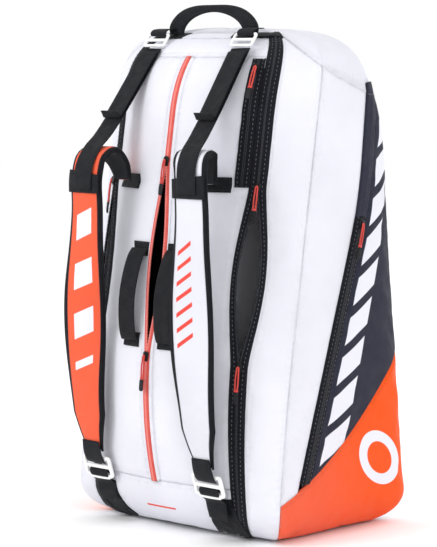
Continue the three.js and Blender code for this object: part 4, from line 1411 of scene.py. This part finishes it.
def white_rows():
    """Lines as s and z: across the middle panels, along the zips and round the top seam."""
    rows = []
    for z in (YOKE_SEAM - 4, YOKE_SEAM + 4, LOW_SEAM - 4, LOW_SEAM + 4,
              *[z + k for z in sorted(sewn_rows) for k in (-BESIDE, BESIDE)]):
        first = float(centre_edge(float(z))) if LOW_SEAM < z < YOKE_SEAM else 0.0
        s = np.linspace(first + 0.01, float(main_edge_in(float(z))) - 0.01, 24)
        rows.append((s, z + 0 * s))
    z = np.linspace(LOW_SEAM + 4, YOKE_SEAM - 4, 90)
    rows += [(centre_edge(z) + to_s(BESIDE), z), (main_edge_in(z) - to_s(BESIDE), z)]
    z = np.linspace(10, TOP_SEAM_FRONT - 6, 110)
    rows.append((main_edge_out(z) + to_s(BESIDE), z))
    z = np.linspace(30, TOP_SEAM_SIDE - 6, 110)
    rows.append((1 + to_s(BESIDE) + 0 * z, z))
    s = np.linspace(to_s(MAIN_X + ZIP_TAPE) + 0.02, 2.2, 90)
    rows += [(s, top_seam(s) - 4.5), (s, top_seam(s) + 4.5)]
    s = np.linspace(2.28, 3, 60)
    rows.append((s, TOP_SEAM_BACK - 5.0 + 0 * s))
    z = np.linspace(30, TOP_SEAM_BACK - 8, 100)
    return [*rows, (BACK_SEAM + to_s(6) + 0 * z, z)]


def dark_rows():
    """Lines beside the pocket zip and round the bottom corner."""
    z = np.linspace(150, TOP_SEAM_BACK + 2, 90)
    s = np.linspace(1.05, 2.22, 80)
    return [(pocket_line(z, SIDE_ZIP_HALF + BESIDE), z), (s, corner_border(s) + 4),
            (s, corner_border(s) - 4)]


for name, lines, thread, slot in (("panel", white_rows, thread_white, "white_fabric"),
                                  ("pocket", dark_rows, thread_black, "navy_fabric")):
    rows = [stitches(*line_on(s, z, hand), thread, *TOPSTITCH)
            for hand in (-1, 1) for s, z in lines()]
    on_body(joined(name + "_topstitching", rows), "bag")

# ---------------------------------------------------------------- camera, light, floor

FOCAL_SHARE, SENSOR = 2300 / 547, 36  # the focal length as a share of the picture's height
CAMERA_AT, CAMERA_TARGET = (2.4204, -2.5283, 0.710), (-0.0109, -0.0106, 0.379)
LIGHT_TARGET = (0, 0, 0.4)


def placed(name, data, place, target):
    """An object at a place, turned so that it looks at a target."""
    made = bpy.data.objects.new(name, data)
    made.location = place
    made.rotation_euler = (Vector(target) - Vector(place)).to_track_quat("-Z", "Y").to_euler()
    scene.collection.objects.link(made)
    return made


def add_camera():
    data = bpy.data.cameras.new("camera")
    data.sensor_fit = "VERTICAL"
    data.sensor_height = SENSOR
    data.lens = FOCAL_SHARE * SENSOR
    data.clip_end = 50
    scene.camera = placed("camera", data, CAMERA_AT, CAMERA_TARGET)


def area_light(name, place, size, power, colour=(1, 1, 1)):
    data = bpy.data.lights.new(name, "AREA")
    data.size, data.energy, data.color = size, power, colour
    placed(name, data, place, LIGHT_TARGET)


def add_world():
    world = bpy.data.worlds.new("studio")
    world.use_nodes = True
    background = world.node_tree.nodes["Background"]
    background.inputs["Color"].default_value = (1, 1, 1, 1)
    background.inputs["Strength"].default_value = 1.0
    scene.world = world


def add_floor():
    mesh = bpy.data.meshes.new("floor")
    work = bmesh.new()
    bmesh.ops.create_grid(work, x_segments=8, y_segments=8, size=9)
    work.to_mesh(mesh)
    work.free()
    floor = bpy.data.objects.new("floor", mesh)
    floor.location.z = -0.0005
    scene.collection.objects.link(floor)
    paper = Shader("floor_paper")
    paper.put(paper.bsdf.inputs["Base Color"], (1, 1, 1, 1))
    paper.bsdf.inputs["Roughness"].default_value = 0.9
    mesh.materials.append(paper.material)


add_camera()
area_light("key", (-1.0, -3.2, 2.4), 1.5, 46)
area_light("fill", (3.4, -0.6, 1.8), 2.2, 22, (0.97, 0.98, 1))
area_light("back", (0.4, 3.2, 2.4), 2.0, 25)
add_world()
add_floor()
